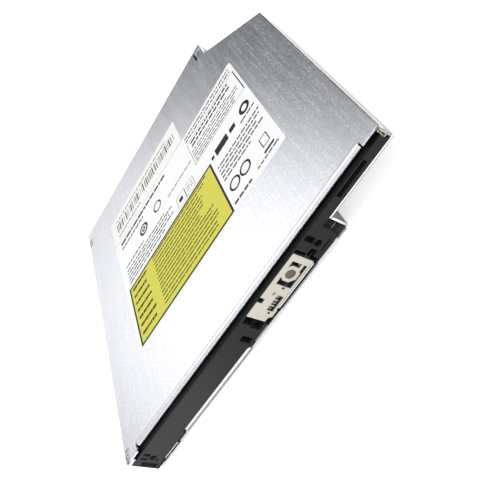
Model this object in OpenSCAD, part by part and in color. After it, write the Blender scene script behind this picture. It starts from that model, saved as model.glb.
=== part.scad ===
// Slim tray-loading DVD writer for a notebook, without its front bezel.
// It lies flat on its housing. X runs to the right as seen from the tray's front,
// Y runs to the rear and Z up. The origin is the centre of the footprint, on the underside.

/* [Envelope] */
// Width over the side walls
body_w = 128; // [126:0.5:132]
// Depth from the tray's front face to the rear wall
body_d = 126.1; // [124:0.1:130]
// Height from the underside to the top of the cover
body_h = 12.7; // [12.5:0.1:14]
// Height of the shallow part under the disc's right edge
thin_h = 7; // [6.8:0.1:7.4]
// Distance from the centre to the outer face of the step wall
step_x = 38.1; // [36:0.1:42]
// Depth that the cut of the rear-right corner runs over
corner_run = 25.4; // [20:0.1:32]
// Where the cut of the rear-right corner ends, from the rear wall
corner_rear = 10.4; // [6:0.1:16]

/* [Sheet metal] */
// Thickness of the housing sheet
pan_t = 0.6; // [0.5:0.05:0.7]
// Thickness of the cover sheet
cover_t = 0.6; // [0.5:0.05:0.7]
// Thickness of the cover's side flanges
flange_t = 0.4; // [0.3:0.05:0.5]
// Height of the cover's side flanges
flange_h = 2.4; // [1.6:0.1:3]
// How far the housing's floor stands back from the front
pan_front = 1.8; // [1.5:0.1:2.2]
// How far the housing's front lip stands back from the front
lip_front = 1; // [0.8:0.1:1.3]
// Height of the housing's front lip
pan_lip_h = 1.8; // [1.2:0.1:2]
// Setback of the cover's bent front lip
cover_lip_y = 1.9; // [1.5:0.1:2.4]
// Reach of the cover's front lip below the cover sheet
cover_lip_drop = 0.6; // [0.3:0.05:0.7]
// Drop of the cover's screw tabs below its top
tab_drop = 0.6; // [0.6:0.05:1.1]

/* [Disc and tray] */
// Diameter of the disc
disc_d = 120; // [120:0.1:120.4]
// Distance from the front to the disc's centre
disc_y = 64.5; // [64:0.1:65]
// Radial room between the disc and the recess wall
disc_room = 0.5; // [0.4:0.05:0.8]
// Thickness of the tray's floor
tray_floor_t = 1.2; // [1:0.05:1.3]
// Depth of the tray's floor below the cover's top
floor_below_top = 4.8; // [4.7:0.05:4.9]
// Depth of the tray's rim below the cover's top
rim_below_top = 1.9; // [1.8:0.05:2.1]
// Thickness of the tray's deep walls
tray_wall_t = 1.2; // [1:0.05:1.5]
// Depth of the front wall from front to back
front_wall_t = 3.2; // [3:0.1:3.6]
// Distance from the end of the tray's deep part to the rear
deep_rear = 20.1; // [19.1:0.1:22.1]
// How far the tray slides out
tray_travel = 126; // [110:1:126]
// Gap between the tray's rear edge and the rear wall
tray_rear_gap = 0.7; // [0.5:0.1:1]
// Diameter of the shallow inner recess for small discs
small_disc_d = 81; // [80.5:0.1:82]
// Depth of the shallow inner recess
small_disc_depth = 0.35; // [0.2:0.05:0.5]

/* [Slide rails] */
// Sheet thickness of the guides and the rails
rail_t = 0.3; // [0.25:0.05:0.35]
// Running gap between guide, rail and tray
slide_gap = 0.1; // [0.08:0.01:0.15]
// Width of a rail's flanges
rail_grip = 0.9; // [0.7:0.05:1]
// Height of the left rail
left_rail_h = 5; // [4.6:0.1:5.2]
// Depth of the left rail's upper edge below the cover's top
left_rail_below_top = 3.5; // [3.3:0.1:4]
// Height of the right rail
right_rail_h = 2.3; // [2:0.1:2.3]
// Depth of the right rail's upper edge below the cover's top
right_rail_below_top = 1.1; // [1.05:0.05:1.4]
// Length of the left rail
left_rail_l = 119; // [112:1:120]
// Length of the right rail
right_rail_l = 84; // [80:1:86]

/* [Traverse] */
// Angle of the pickup's path, from the right-hand direction
path_deg = 225; // [222:1:228]
// Distance from the spindle to the lens at rest
lens_r = 24; // [23.5:0.5:25]
// Travel of the pickup
pickup_travel = 33; // [30:1:33]
// Half the distance between the two guide rods
rod_v = 15.5; // [15.3:0.1:15.8]
// Diameter of the guide rods
rod_d = 2; // [1.8:0.1:2.2]
// Height of the rods' axes above the underside
rod_z = 5.2; // [5.1:0.1:5.4]
// Running gap round rods, shafts and pins
running_gap = 0.04; // [0.02:0.01:0.06]
// Diameter of the lead screw
screw_d = 2; // [1.8:0.1:2.2]
// Offset of the lead screw from the pickup's path
screw_v = 19.4; // [19.2:0.1:19.6]
// Height of the lead screw's axis
screw_z = 4.5; // [4.4:0.1:4.6]
// Diameter of the sled motor
sled_motor_d = 4.2; // [4:0.1:4.3]
// Diameter of the turntable's platform
platform_d = 29; // [28:0.5:30]
// Diameter of the turntable's hub
hub_d = 14.8; // [14.6:0.05:14.9]
// Height of the surface that carries the disc above the tray's floor
disc_lift = 1.2; // [1.1:0.05:1.3]
// Reach of the hub above the disc's seat
hub_h = 2; // [1.8:0.05:2.1]

/* [Eject mechanism] */
// Offset of the eject button from the centre
button_x = 19.3; // [19.1:0.1:19.5]
// Depth of the eject button's axis below the cover's top
button_below_top = 5.95; // [5.8:0.05:6.1]
// Diameter of the eject button
button_d = 2.9; // [2.6:0.05:3]
// Travel of the push rod
push_travel = 15; // [12:1:15]
// Offset of the push rod from the centre
push_x = 32.6; // [32.3:0.1:32.8]

/* [Hidden] */
$fn = 48;
slack = 0.01;
far = 400;

half_w = body_w / 2;
cover_z = body_h - cover_t;
thin_z = body_h - thin_h;
pan_x = half_w - flange_t;
in_x = pan_x - pan_t;
corner_end_y = body_d - corner_rear;
corner_y = corner_end_y - corner_run;
cut_slope = corner_run / (half_w - step_x);
cut_deg = atan(1 / cut_slope);
cut_norm = sqrt(1 + cut_slope * cut_slope);

guide_in_x = in_x - rail_t;
rail_out_x = guide_in_x - slide_gap;
rail_in_x = rail_out_x - rail_t;
tongue_x = rail_in_x - slide_gap;
tray_x = rail_out_x - rail_grip - slide_gap - rail_t;
rail_inner_edge = tray_x + slide_gap;
guide_inner_edge = rail_inner_edge + rail_t;
rail_front = 1.7;
left_rail_z1 = body_h - left_rail_below_top;
left_rail_z0 = left_rail_z1 - left_rail_h;
right_rail_z1 = body_h - right_rail_below_top;
right_rail_z0 = right_rail_z1 - right_rail_h;
guide_front = 2.2;
right_end_y = cut_y(pan_x) - 1.5;

rim_z = body_h - rim_below_top;
tray_floor_z = body_h - floor_below_top;
disc_z = tray_floor_z + disc_lift;
tray_under_z = tray_floor_z - tray_floor_t;
tray_rear = body_d - pan_t - tray_rear_gap;
tray_cut_gap = 0.6;
deep_x = step_x - pan_t - 0.9;
deep_end_y = body_d - deep_rear;
shield_t = 0.4;
shield_z = 2.2;
deep_z = shield_z + shield_t;
recess_r = disc_d / 2 + disc_room;
front_rest_z = 1.15;
window_v = 17.4;
window_u0 = -17;
window_u1 = 66;
cover_top_z = tray_floor_z - small_disc_depth;

function cut_y(x, inset = 0) = corner_y + (half_w - x) * cut_slope - inset * cut_norm;

module from_front() translate([0, -body_d / 2, 0]) children();

// A block given by its two opposite corners.
module block(a, b) translate(a) cube([b[0] - a[0], b[1] - a[1], b[2] - a[2]]);

// A cylinder along Y, from y0 to y1.
module y_cylinder(x, z, r, y0, y1) translate([x, y0, z]) rotate([-90, 0, 0]) cylinder(r = r, h = y1 - y0);

// A cylinder along X, from x0 to x1.
module x_cylinder(y, z, r, x0, x1) translate([x0, y, z]) rotate([0, 90, 0]) cylinder(r = r, h = x1 - x0);

// A cylinder that stands up from z0 to z1.
module z_cylinder(x, y, r, z0, z1) translate([x, y, z0]) cylinder(r = r, h = z1 - z0);

// A flat outline in X and Z, carried along Y.
module along_y(y0, y1) translate([0, y1, 0]) rotate([90, 0, 0]) linear_extrude(y1 - y0) children();

// A flat outline in Y and Z, carried along X.
module along_x(x0, x1) translate([x0, 0, 0]) rotate([90, 0, 90]) linear_extrude(x1 - x0) children();

// A rectangle with round corners.
module round_rect(x0, y0, x1, y1, r) {
  translate([x0 + r, y0]) square([x1 - x0 - 2 * r, y1 - y0]);
  translate([x0, y0 + r]) square([x1 - x0, y1 - y0 - 2 * r]);
  for (x = [x0 + r, x1 - r], y = [y0 + r, y1 - r]) translate([x, y]) circle(r);
}

// Outline of the whole drive seen from above, with its cut corner.
module drive_outline(side, cut, y0, y1, step_in = 0) polygon([
  [-side, y0], [side, y0], [side, cut_y(side, cut)],
  [step_x - step_in, cut_y(step_x - step_in, cut)], [step_x - step_in, y1], [-side, y1]]);

// Housing

rear_hole_x = [-52, -32];
rear_hole_z = 9.4;
side_hole_y = [24, 92];
side_hole_z = 2.3;
tapped_r = 0.8;
conn_x = 17;
conn_w = 25;
conn_z0 = 2.4;
conn_z1 = 6.6;
wall_front = 0.7;
lip_x = [-half_w + 18.5, -8.2];
tongue_spans = [[-half_w + 4.7, -half_w + 13.7, 0.75], [7.5, 24.5, 1.55]];
// Floor that reaches further forward under the plate and beside the step: x from, x to, front edge.
floor_reaches = [[7.5, 24.5, 1.35], [step_x - 4.5, step_x, lip_front]];
tongue_t = 0.4;
bead_y = [30, 58, 86];
// Lowered screw tabs: left, front, right and rear edge, then the screw's place.
screw_tabs = [
  [-half_w, 0, -half_w + 3.2, 5.2, -half_w + 1.7, 2.8],
  [-half_w, body_d - 10.5, -half_w + 3.2, body_d - 5.5, -half_w + 1.7, body_d - 8],
  [step_x - 3.9, body_d - 6.9, step_x, body_d - 1.5, step_x - 2, body_d - 4.5]];
tab_hole_r = 0.55;
tab_top_z = body_h - tab_drop;
post = [screw_tabs[2][4], screw_tabs[2][5]];

// A long flat shape with round ends, along X.
module bead(x0, x1, y, r) {
  translate([x0 + r, y - r]) square([x1 - x0 - 2 * r, 2 * r]);
  for (x = [x0 + r, x1 - r]) translate([x, y]) circle(r);
}

post_r = 1.5;

module bottom_housing() color("gainsboro") from_front() {
  difference() {
    union() {
      block([-pan_x, 0, 0], [step_x, body_d, cover_z]);
      translate([0, 0, thin_z]) linear_extrude(cover_z - thin_z) drive_outline(pan_x, 0, 0, body_d);
    }
    // inside of the deep side, below the shallow floor
    block([-in_x, -1, pan_t], [step_x - pan_t, body_d - pan_t, thin_z + pan_t + slack]);
    // inside above the shallow floor, over the whole outline
    translate([0, 0, thin_z + pan_t]) linear_extrude(far)
      drive_outline(in_x, pan_t, -1, body_d - pan_t, pan_t);
    // the floor and the step wall stand back from the front
    block([-in_x, -1, -1], [in_x, pan_front, body_h]);
    block([-half_w, -1, -1], [-in_x + slack, pan_front, body_h]);
    block([in_x - slack, -1, -1], [half_w, wall_front, body_h]);
    block([in_x - slack, -1, -1], [half_w, pan_front, thin_z + pan_t + 1]);
    // opening for the rear connector
    block([conn_x - conn_w / 2 - 0.3, body_d - 2, conn_z0 - 0.3], [conn_x + conn_w / 2 + 0.3, body_d + 1, conn_z1 + 0.3]);
    for (x = rear_hole_x) y_cylinder(x, rear_hole_z, tapped_r, body_d - 2, body_d + 1);
    for (y = side_hole_y) x_cylinder(y, side_hole_z, tapped_r, -pan_x - 1, -in_x + 1);
    // stiffening beads pressed into the underside, closed above
    for (y = bead_y) translate([0, 0, -slack]) linear_extrude(0.2 + slack) bead(-46, 18, y, 1.2);
    // the walls are lower under the cover's screw tabs
    for (t = screw_tabs) block([t[0] - 1, t[1] - 1, tab_top_z - cover_t], [t[2], t[3], far]);
  }
  // screw post in the rear-right corner
  difference() {
    z_cylinder(post[0], post[1], post_r, pan_t - slack, tab_top_z - cover_t);
    z_cylinder(post[0], post[1], tab_hole_r, tab_top_z - 4, far);
  }
  // front lip, turned up from the floor
  block([lip_x[0], lip_front, 0], [lip_x[1], pan_front + slack, pan_t]);
  block([lip_x[0], lip_front, 0], [lip_x[1], lip_front + pan_t, pan_lip_h]);
  for (f = floor_reaches) block([f[0], f[2], 0], [f[1], pan_front + slack, pan_t]);
  // raised tongues of the front edge
  for (s = tongue_spans) {
    block([s[0], lip_front, s[2]], [s[1], pan_front + 1.2, s[2] + tongue_t]);
    block([s[0], pan_front + 0.8, pan_t - slack], [s[1], pan_front + 1.2, s[2] + slack]);
  }
}

// Cover

lip_span = [-half_w + 7.6, half_w - 6.8];
front_flap_x = -half_w + 3.2;
relief_w = 0.6;
corner_back = 0.9;
crease_y = 3.4;
crease_drop = 0.12;

module cover_lip_profile() {
  bend_r = 0.9;
  translate([cover_lip_y, cover_z - cover_lip_drop]) square([0.5, cover_lip_drop + cover_t - bend_r]);
  difference() {
    translate([cover_lip_y + bend_r, body_h - bend_r]) circle(bend_r);
    translate([cover_lip_y + bend_r, body_h - bend_r]) circle(bend_r - 0.5);
    translate([cover_lip_y + bend_r, body_h - 3]) square(6);
    translate([cover_lip_y - 1, body_h - bend_r - 3]) square([6, 3]);
  }
  translate([cover_lip_y + bend_r - slack, body_h - 0.5]) square([0.6, 0.5 - crease_drop]);
}

// Pocket of a tab, open only at the front of the drive.
module screw_tab(t) {
  wall = 0.4;
  difference() {
    block([t[0], t[1], tab_top_z - cover_t], [t[2], t[3], body_h - 0.02]);
    block([t[0] + wall, t[1] + (t[1] > 0 ? wall : -1), tab_top_z], [t[2] - wall, t[3] - wall, far]);
    z_cylinder(t[4], t[5], tab_hole_r, 0, far);
  }
}

module top_cover() color("silver") from_front() {
  difference() {
    translate([0, 0, cover_z]) linear_extrude(cover_t) drive_outline(half_w, 0, 0, body_d);
    // the middle of the front edge stands back and carries the bent lip
    block([lip_span[0] - relief_w, -1, 0], [lip_span[1] + relief_w, cover_lip_y + 0.9, far]);
    // the strip along the lip lies a little lower
    block([lip_span[0] - 0.3, -1, body_h - crease_drop], [lip_span[1] + 0.3, crease_y, far]);
    // the edge stands back in the front-right corner
    block([lip_span[1], -1, 0], [half_w - flange_t, corner_back, far]);
    // relief notches at the cover's tabs
    for (t = screw_tabs) block([t[0] - 1, t[1] - 1, 0], [t[2] + (t[2] < step_x ? 0 : 1), t[3], far]);
    for (t = screw_tabs) if (t[1] > 0) block([t[0], t[1] - 1, 0], [t[2], t[1], far]);
  }
  for (t = screw_tabs) if (t[1] > 0) block([t[0], t[1] - 1, cover_z], [t[2], t[1], body_h]);
  for (t = screw_tabs) screw_tab(t);
  // front tab's edge, bent down in front of the wall
  block([-half_w + 0.4, 0, tab_top_z - 1], [front_flap_x, 0.5, tab_top_z]);
  along_x(lip_span[0], lip_span[1]) cover_lip_profile();
  // side flanges over the housing walls
  block([pan_x, wall_front, body_h - flange_h], [half_w, cut_y(half_w) - 1, body_h - slack]);
  block([-half_w, screw_tabs[0][3], body_h - flange_h], [-pan_x, screw_tabs[1][1], body_h - slack]);
}

module cover_screws() color("dimgray") from_front() for (t = screw_tabs) {
  difference() {
    z_cylinder(t[4], t[5], 1.05, tab_top_z, tab_top_z + 0.5);
    for (a = [0, 90]) translate([t[4], t[5], tab_top_z + 0.35]) rotate(a) cube([1.3, 0.3, 0.4], center = true);
  }
  z_cylinder(t[4], t[5], tab_hole_r - running_gap, tab_top_z - 1.7, tab_top_z);
}

label_t = 0.08;
label_r = 1.2;
// The labels' left, front, right and rear edges.
rating_rect = [-45, 30.7, 44.1, 90.7];
barcode_rect = [-45, 91.6, 9.8, 108];

module rating_label() color("white") from_front() translate([0, 0, body_h])
  linear_extrude(label_t) round_rect(rating_rect[0], rating_rect[1], rating_rect[2], rating_rect[3], label_r);

module barcode_label() color("ivory") from_front() translate([0, 0, body_h])
  linear_extrude(label_t) round_rect(barcode_rect[0], barcode_rect[1], barcode_rect[2], barcode_rect[3], label_r / 2);

// Guides fixed to the side walls, and rails that slide in them

// C section open towards the middle, for the right side.
module c_section(x_out, x_in_edge, t, z0, z1) {
  translate([x_out - t, z0]) square([t, z1 - z0]);
  translate([x_in_edge, z0]) square([x_out - x_in_edge, t]);
  translate([x_in_edge, z1 - t]) square([x_out - x_in_edge, t]);
}

module guide_profile(z0, z1) {
  out = rail_t + slide_gap;
  c_section(in_x, guide_inner_edge, rail_t, z0 - out, z1 + out);
}

module guide_left() color("whitesmoke") from_front() mirror([1, 0, 0]) difference() {
  union() {
    along_y(guide_front, body_d - 4) guide_profile(left_rail_z0, left_rail_z1);
    // screw blocks above the rail
    for (t = [screw_tabs[0], screw_tabs[1]])
      block([rail_inner_edge, t[5] - 1.2, left_rail_z1 + slide_gap], [in_x, t[5] + 1.6, tab_top_z - cover_t]);
  }
  for (t = [screw_tabs[0], screw_tabs[1]]) z_cylinder(-t[4], t[5], tab_hole_r, left_rail_z1 + 0.6, far);
}

module guide_right() color("whitesmoke") from_front()
  along_y(guide_front, right_end_y) guide_profile(right_rail_z0, right_rail_z1);

module rail(z0, z1, l, web_front) difference() {
  union() {
    along_y(rail_front, rail_front + l) c_section(rail_out_x, rail_inner_edge, rail_t, z0, z1);
    block([rail_in_x, web_front, z0], [rail_out_x, rail_front + slack, z1]);
  }
  // slots that save weight and hold grease
  for (i = [1 : 5]) {
    y = rail_front + l * i / 6;
    z = (z0 + z1) / 2;
    block([rail_in_x - 1, y - 2, z - 0.5], [rail_out_x + 1, y + 2, z + 0.5]);
  }
}

module rail_left() color("lightgray") from_front() mirror([1, 0, 0]) rail(left_rail_z0, left_rail_z1, left_rail_l, rail_front);

module rail_right() color("lightgray") from_front() rail(right_rail_z0, right_rail_z1, right_rail_l, 0.8);

// Lock catch on the step wall, rear connector, its board and the flat flex cable

catch_y = 16;
catch_l = 1.6;
catch_z = [3, 4.8];

module lock_catch() color("silver") from_front() {
  block([step_x - pan_t - 0.65, catch_y, catch_z[0]], [step_x - pan_t, catch_y + catch_l, catch_z[1]]);
  block([step_x - pan_t - 0.25, catch_y - 2.5, catch_z[0]], [step_x - pan_t, catch_y + 5, catch_z[1]]);
}

board_rear_z = 1.6;
board_t = 0.8;
flex_x = [-26, -10];
flex_t = 0.12;
flex_low_z = 0.68;
flex_high_z = 2.05;
flex_socket_y = body_d - 16.1;
flex_tray_y = deep_end_y - 9;
flex_bend_y = flex_tray_y - tray_travel / 2;

module connector_board() color("darkgreen") from_front() {
  translate([0, 0, board_rear_z]) linear_extrude(board_t) difference() {
    round_rect(conn_x - 46, body_d - 17.6, conn_x + 12.4, body_d - pan_t - 0.4, 0.5);
    translate([conn_x - 41, body_d - 4.6]) circle(1.1);
  }
  // socket of the flex cable, under the board
  block([flex_x[0] - 1.5, flex_socket_y, pan_t + 0.02], [flex_x[1] + 1.5, flex_socket_y + 3, board_rear_z]);
  // spacers between the housing floor and the board
  for (x = [conn_x - 37, conn_x + 9]) z_cylinder(x, body_d - 7.6, 1.8, pan_t, board_rear_z);
}

module rear_connector() color("black") from_front() {
  mouth_w = conn_w - 3;
  tongue_z = 4.1;
  difference() {
    block([conn_x - conn_w / 2, body_d - 8.5, board_rear_z + board_t], [conn_x + conn_w / 2, body_d, conn_z1]);
    block([conn_x - mouth_w / 2, body_d - 5.5, 3], [conn_x + mouth_w / 2, body_d + 1, conn_z1 - 0.7]);
    block([conn_x - conn_w, body_d - pan_t - 0.2, 0], [conn_x + conn_w, body_d + 1, conn_z0]);
  }
  // blade of the power side and blade of the signal side, each with its key
  block([conn_x - mouth_w / 2 + 0.8, body_d - 6, tongue_z], [conn_x - 1.3, body_d - 0.8, tongue_z + 1.1]);
  block([conn_x - 1.9, body_d - 6, tongue_z - 0.7], [conn_x - 1.3, body_d - 0.8, tongue_z + 0.2]);
  block([conn_x + 0.7, body_d - 6, tongue_z], [conn_x + mouth_w / 2 - 0.8, body_d - 0.8, tongue_z + 1.1]);
  block([conn_x + mouth_w / 2 - 1.4, body_d - 6, tongue_z - 0.7], [conn_x + mouth_w / 2 - 0.8, body_d - 0.8, tongue_z + 0.2]);
}

// Ribbon in the gap under the tray: along the floor, round a bend, back and up to the tray.
module flex_cable() color("sandybrown") from_front() {
  r = (flex_high_z - flex_low_z) / 2;
  zc = (flex_high_z + flex_low_z) / 2;
  along_x(flex_x[0], flex_x[1]) {
    translate([flex_bend_y, flex_low_z - flex_t / 2]) square([flex_socket_y - flex_bend_y, flex_t]);
    translate([flex_bend_y, flex_high_z - flex_t / 2]) square([flex_tray_y - flex_bend_y, flex_t]);
    translate([flex_tray_y - flex_t, flex_high_z]) square([flex_t, deep_z - flex_high_z + 0.1]);
    difference() {
      translate([flex_bend_y, zc]) circle(r + flex_t / 2);
      translate([flex_bend_y, zc]) circle(r - flex_t / 2);
      translate([flex_bend_y, zc - 5]) square(10);
    }
  }
}

// Tray moulding

plate_x = [2.5, 25.2];
plate_z = [2.6, 10.25];
plate_t = 0.8;
plate_gap = 0.5;
plate_gap_right = 1.4;
// The plate's lower edge steps up over the pan's tongue.
plate_step = [7.1, 7.5, 2.95];
front_left = -half_w + 0.1;
front_right = tongue_x;
front_deep_x = step_x - 3.1;
front_thin_z = 7.95;
wall_step = 1.5;
deep_bottom = [
  [front_left, front_rest_z], [tongue_spans[0][0], front_rest_z], [tongue_spans[0][0], 2],
  [tongue_spans[0][1], 2], [tongue_spans[0][1], 1.4], [lip_x[0], 1.4], [lip_x[0], 2.7], [-8.2, 2.7],
  [-6.5, 1.7], [-5, 1.7], [-5, 2.4], [1.2, 2.4], [1.7, 1.9], [7.1, 1.9], [7.5, 2.3], [24.5, 2.3], [24.9, 1.9], [front_deep_x - 2.4, 1.7], [front_deep_x - 1, 1.9], [front_deep_x - 0.2, 2.7],
  [front_deep_x + 0.15, 4]];
// Ribs below the slots of the front edge: x from, x to, z from, z to, top of the ends.
front_ribs = [[-half_w + 4.1, -half_w + 14.3, 0.95, 1.25, 2.1], [7.1, 24.9, 1.75, 2.05, 2.5]];
rib_y = 0.3;

module front_rib(f) along_y(0, rib_y) difference() {
  translate([f[0], f[2]]) square([f[1] - f[0], f[4] - f[2]]);
  translate([f[0] + 0.5, f[3]]) square([f[1] - f[0] - 1, far]);
}

module front_face_outline() polygon(concat(deep_bottom,
  [[front_deep_x + 0.3, front_thin_z], [front_right, front_thin_z], [front_right, rim_z], [front_left, rim_z]]));

// Part of the tray's outline that lies behind the front wall.
module tray_outline(inset = 0) polygon([
  [-tray_x + inset, front_wall_t - slack], [tray_x - inset, front_wall_t - slack],
  [tray_x - inset, cut_y(tray_x - inset, pan_t + tray_cut_gap + inset)],
  [deep_x, cut_y(deep_x, pan_t + tray_cut_gap + inset)], [deep_x, tray_rear], [-tray_x + inset, tray_rear]]);

// Recesses in the front face: x from, x to, z from, z to, depth.
face_recesses = [
  [half_w - 19.9, half_w - 8.8, 8.95, 10.35, 2.2], [29.7, 31.6, 7.1, 10.2, 2.2], [26, 28.6, 4.2, 6.4, 2.4],
  [28.7, 33.2, 3.1, 3.45, 1.2], [-0.1, 2.2, 6.9, 10, 2.6], [-0.8, 2.2, 3.4, 6.8, 2.6],
  [-6.3, -4.1, 3.2, 6.9, 2.6], [-half_w + 3.4, -half_w + 4.4, 7.3, 9.7, 2],
  [-half_w + 5.2, -half_w + 6.5, 7.3, 9.7, 2], [-half_w + 0.6, -half_w + 2.6, 2.6, 8.3, 1.2],
  [-half_w + 3.6, -half_w + 4.8, 3.6, 4.4, 1.5]];
// Round recesses with a screw in them: x and z.
screw_recesses = [[30.6, 5.7], [-half_w + 5, 5.9]];
screw_recess_r = 1.15;

module on_path() translate([0, disc_y, 0]) rotate(path_deg) children();

boss_left = -half_w + 5.3;
boss_points = [[boss_left, 8], [-14, 6.5], [boss_left, deep_end_y - 6], [step_x - 11.3, deep_end_y - 4],
  [boss_left + 1.2, 60], [step_x - 5.7, 60]];
boss_r = 1.7;
latch_pivot = [29.6, 25];
pivot_r = 0.9;
damper_points = [[-19, 19.5], [-19, -19.5], [40, 24.5], [40, -24.5]];
damper_r = 2.2;
ear_r = 3.4;
chassis_z = 3;
chassis_t = 0.8;
hook_window = [12, 23, 2.6, 5.4];
motor_u = [-6, 8.4];
rod_end_y = deep_end_y - 18;
push_z = [3.4, 5.4];
spring_wire_r = 0.25;
spring_r = 1.35;
spring_turns = 9;
spring_pitch = 2.1;
spring_seat_y = rod_end_y - spring_turns * spring_pitch - 2 * spring_wire_r;

module tray() color("dimgray") from_front() difference() {
  union() {
    // front wall, full width in its first part and narrower behind
    along_y(0, wall_step) front_face_outline();
    intersection() {
      along_y(wall_step - slack, front_wall_t) front_face_outline();
      block([-tray_x, 0, 0], [tray_x, front_wall_t, far]);
    }
    for (f = front_ribs) front_rib(f);
    // floor and rim
    translate([0, 0, tray_under_z]) linear_extrude(rim_z - tray_under_z) tray_outline();
    // walls round the deep part
    difference() {
      block([-tray_x, front_wall_t - slack, deep_z], [deep_x, deep_end_y, tray_under_z + slack]);
      block([-tray_x + tray_wall_t, front_wall_t, 0], [deep_x - tray_wall_t, deep_end_y - tray_wall_t, far]);
    }
    // bosses for the shield's screws, for the dampers and for the latch
    for (p = boss_points) z_cylinder(p[0], p[1], boss_r, deep_z, tray_under_z + slack);
    on_path() for (p = damper_points)
      z_cylinder(p[0], p[1], 1.5, chassis_z + chassis_t + 0.9, tray_under_z + slack);
    z_cylinder(latch_pivot[0], latch_pivot[1], pivot_r, deep_z + 0.1, tray_under_z + slack);
    z_cylinder(latch_pivot[0], latch_pivot[1], 2.2, 4.7, tray_under_z + slack);
    // tongues that run in the rails
    block([-tongue_x, 4, left_rail_z0 + rail_t + slide_gap],
      [-tray_x + slack, tray_rear - 3, left_rail_z1 - rail_t - slide_gap]);
    block([tray_x - slack, 4, right_rail_z0 + rail_t + slide_gap], [tongue_x, right_end_y - 1.5, rim_z]);
    // channel walls of the push rod
    for (x = [push_x - 2.35, push_x + 2.35])
      block([x - 0.35, rod_end_y - 2, deep_z], [x + 0.35, deep_end_y, tray_under_z + slack]);
    block([push_x - 2, spring_seat_y - 1.5, deep_z], [push_x + 2, spring_seat_y, tray_under_z + slack]);
  }
  // disc recess, open at the rear, with a shallow inner recess
  z_cylinder(0, disc_y, recess_r, tray_floor_z, far);
  z_cylinder(0, disc_y, small_disc_d / 2, tray_floor_z - small_disc_depth, far);
  // the tongue on the left needs no rim above it
  block([-far, -1, rim_z], [far, far, far]);
  // room of the traverse, open upwards inside the disc recess and closed by the rim outside it
  on_path() block([window_u0, -window_v, 0], [window_u1, window_v, cover_top_z + 0.05]);
  intersection() {
    on_path() block([window_u0, -window_v, 0], [window_u1, window_v, far]);
    z_cylinder(0, disc_y, recess_r, 0, far);
  }
  // opening of the front plate and the recesses of the front face
  block([plate_x[0] - plate_gap, -1, plate_z[0] - 0.4],
    [plate_x[1] + plate_gap_right, front_wall_t + 0.6, plate_z[1] + 0.05]);
  for (r = face_recesses) block([r[0], -1, r[2]], [r[1], r[4], r[3]]);
  for (s = screw_recesses) y_cylinder(s[0], s[1], screw_recess_r, -1, 2.4);
  // screw holes
  for (p = boss_points) z_cylinder(p[0], p[1], 0.7, 0, deep_z + 3);
  on_path() for (p = damper_points) z_cylinder(p[0], p[1], 0.6, 0, tray_under_z - 0.3);
  // room for the housing's screw post
  block([post[0] - post_r - 0.6, post[1] - post_r - 1, 0], [far, far, far]);
  // windows of the latch hook and of the push rod
  block([deep_x - tray_wall_t - 1, hook_window[0], hook_window[2]], [deep_x + 1, hook_window[1], hook_window[3]]);
  block([push_x - 2, deep_end_y - tray_wall_t - 1, push_z[0] - 0.2],
    [push_x + 2, deep_end_y + 1, push_z[1] + 0.2]);
}

// Front plate with the octagonal ring, its board, switch and parts

ring_flat = 2.55;
ring_bore_gap = 0.1;
button_z = body_h - button_below_top;
switch_window = [15.1, 23.2, 3.6, 8.8];
parts_window = [6.3, 11.9, 3.6, 5.85];

module octagon(flat) intersection() {
  square(2 * flat, center = true);
  rotate(45) square(2 * flat, center = true);
}

module front_plate() color("cornsilk") from_front() difference() {
  union() {
    difference() {
      along_y(0, plate_t) difference() {
        polygon([[plate_x[0], plate_z[0] + 1.1], [plate_x[0] + 1.1, plate_z[0] + 1.05],
          [plate_x[0] + 1.75, plate_z[0] + 0.7], [plate_x[0] + 2.1, plate_z[0]],
          [plate_step[0], plate_z[0]], [plate_step[1], plate_step[2]],
          [plate_x[1], plate_step[2]], [plate_x[1], plate_z[1]], [plate_x[0], plate_z[1]]]);
        // notch in the top edge, window over the parts and its small side hole
        translate([7.8, plate_z[1] - 1.75]) square([1.7, 2]);
        translate([parts_window[0], parts_window[2]])
          square([parts_window[1] - parts_window[0], parts_window[3] - parts_window[2]]);
        translate([5.6, 4.5]) circle(0.45);
        translate([12, 7.2]) circle(0.55);
        translate([14.5, 5.7]) circle(0.45);
      }
      block([switch_window[0], -1, switch_window[2]], [switch_window[1], far, switch_window[3]]);
    }
    // octagonal ring on its two spring arms
    along_y(0, plate_t + 0.2) translate([button_x, button_z]) octagon(ring_flat);
    along_y(0, plate_t - 0.2) {
      translate([button_x - 1.2, button_z + ring_flat - 0.6]) square([2.4, 1.4]);
      translate([button_x + 1.6, button_z - 2]) square([switch_window[1] - button_x - 1, 0.8]);
    }
  }
  y_cylinder(button_x, button_z, button_d / 2 + ring_bore_gap, -1, 3);
}

front_board_y = 2.5;

module front_board() color("darkgreen") from_front() difference() {
  block([plate_x[0] + 0.2, front_board_y, plate_z[0] + 0.2],
    [plate_x[1] - 0.2, front_board_y + 0.6, plate_z[1] - 0.2]);
  y_cylinder(12, 7.2, 0.5, 0, 5);
}

module front_board_parts() color("tan") from_front() {
  z = parts_window[2] + 0.2;
  for (i = [0 : 2]) block([6.5 + 1.5 * i, 1.5 + 0.2 * i, z], [7.5 + 1.5 * i, front_board_y, z + 1.6]);
  block([10.9, 1.3, z], [11.8, front_board_y, z + 1]);
  y_cylinder(5.6, 4.5, 0.4, 1.1, front_board_y);
  y_cylinder(12, 7.2, 0.42, 0.2, front_board_y + 0.9);
}

module eject_switch() color("black") from_front() difference() {
  block([button_x - 2.2, 1.25, button_z - 2.2], [button_x + 2.2, front_board_y, button_z + 2.2]);
  y_cylinder(button_x, button_z, button_d / 2 + ring_bore_gap, 0, 2.1);
}

module eject_button() color("rosybrown") from_front() {
  y_cylinder(button_x, button_z, button_d / 2, 0.05, 1.7);
}

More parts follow.
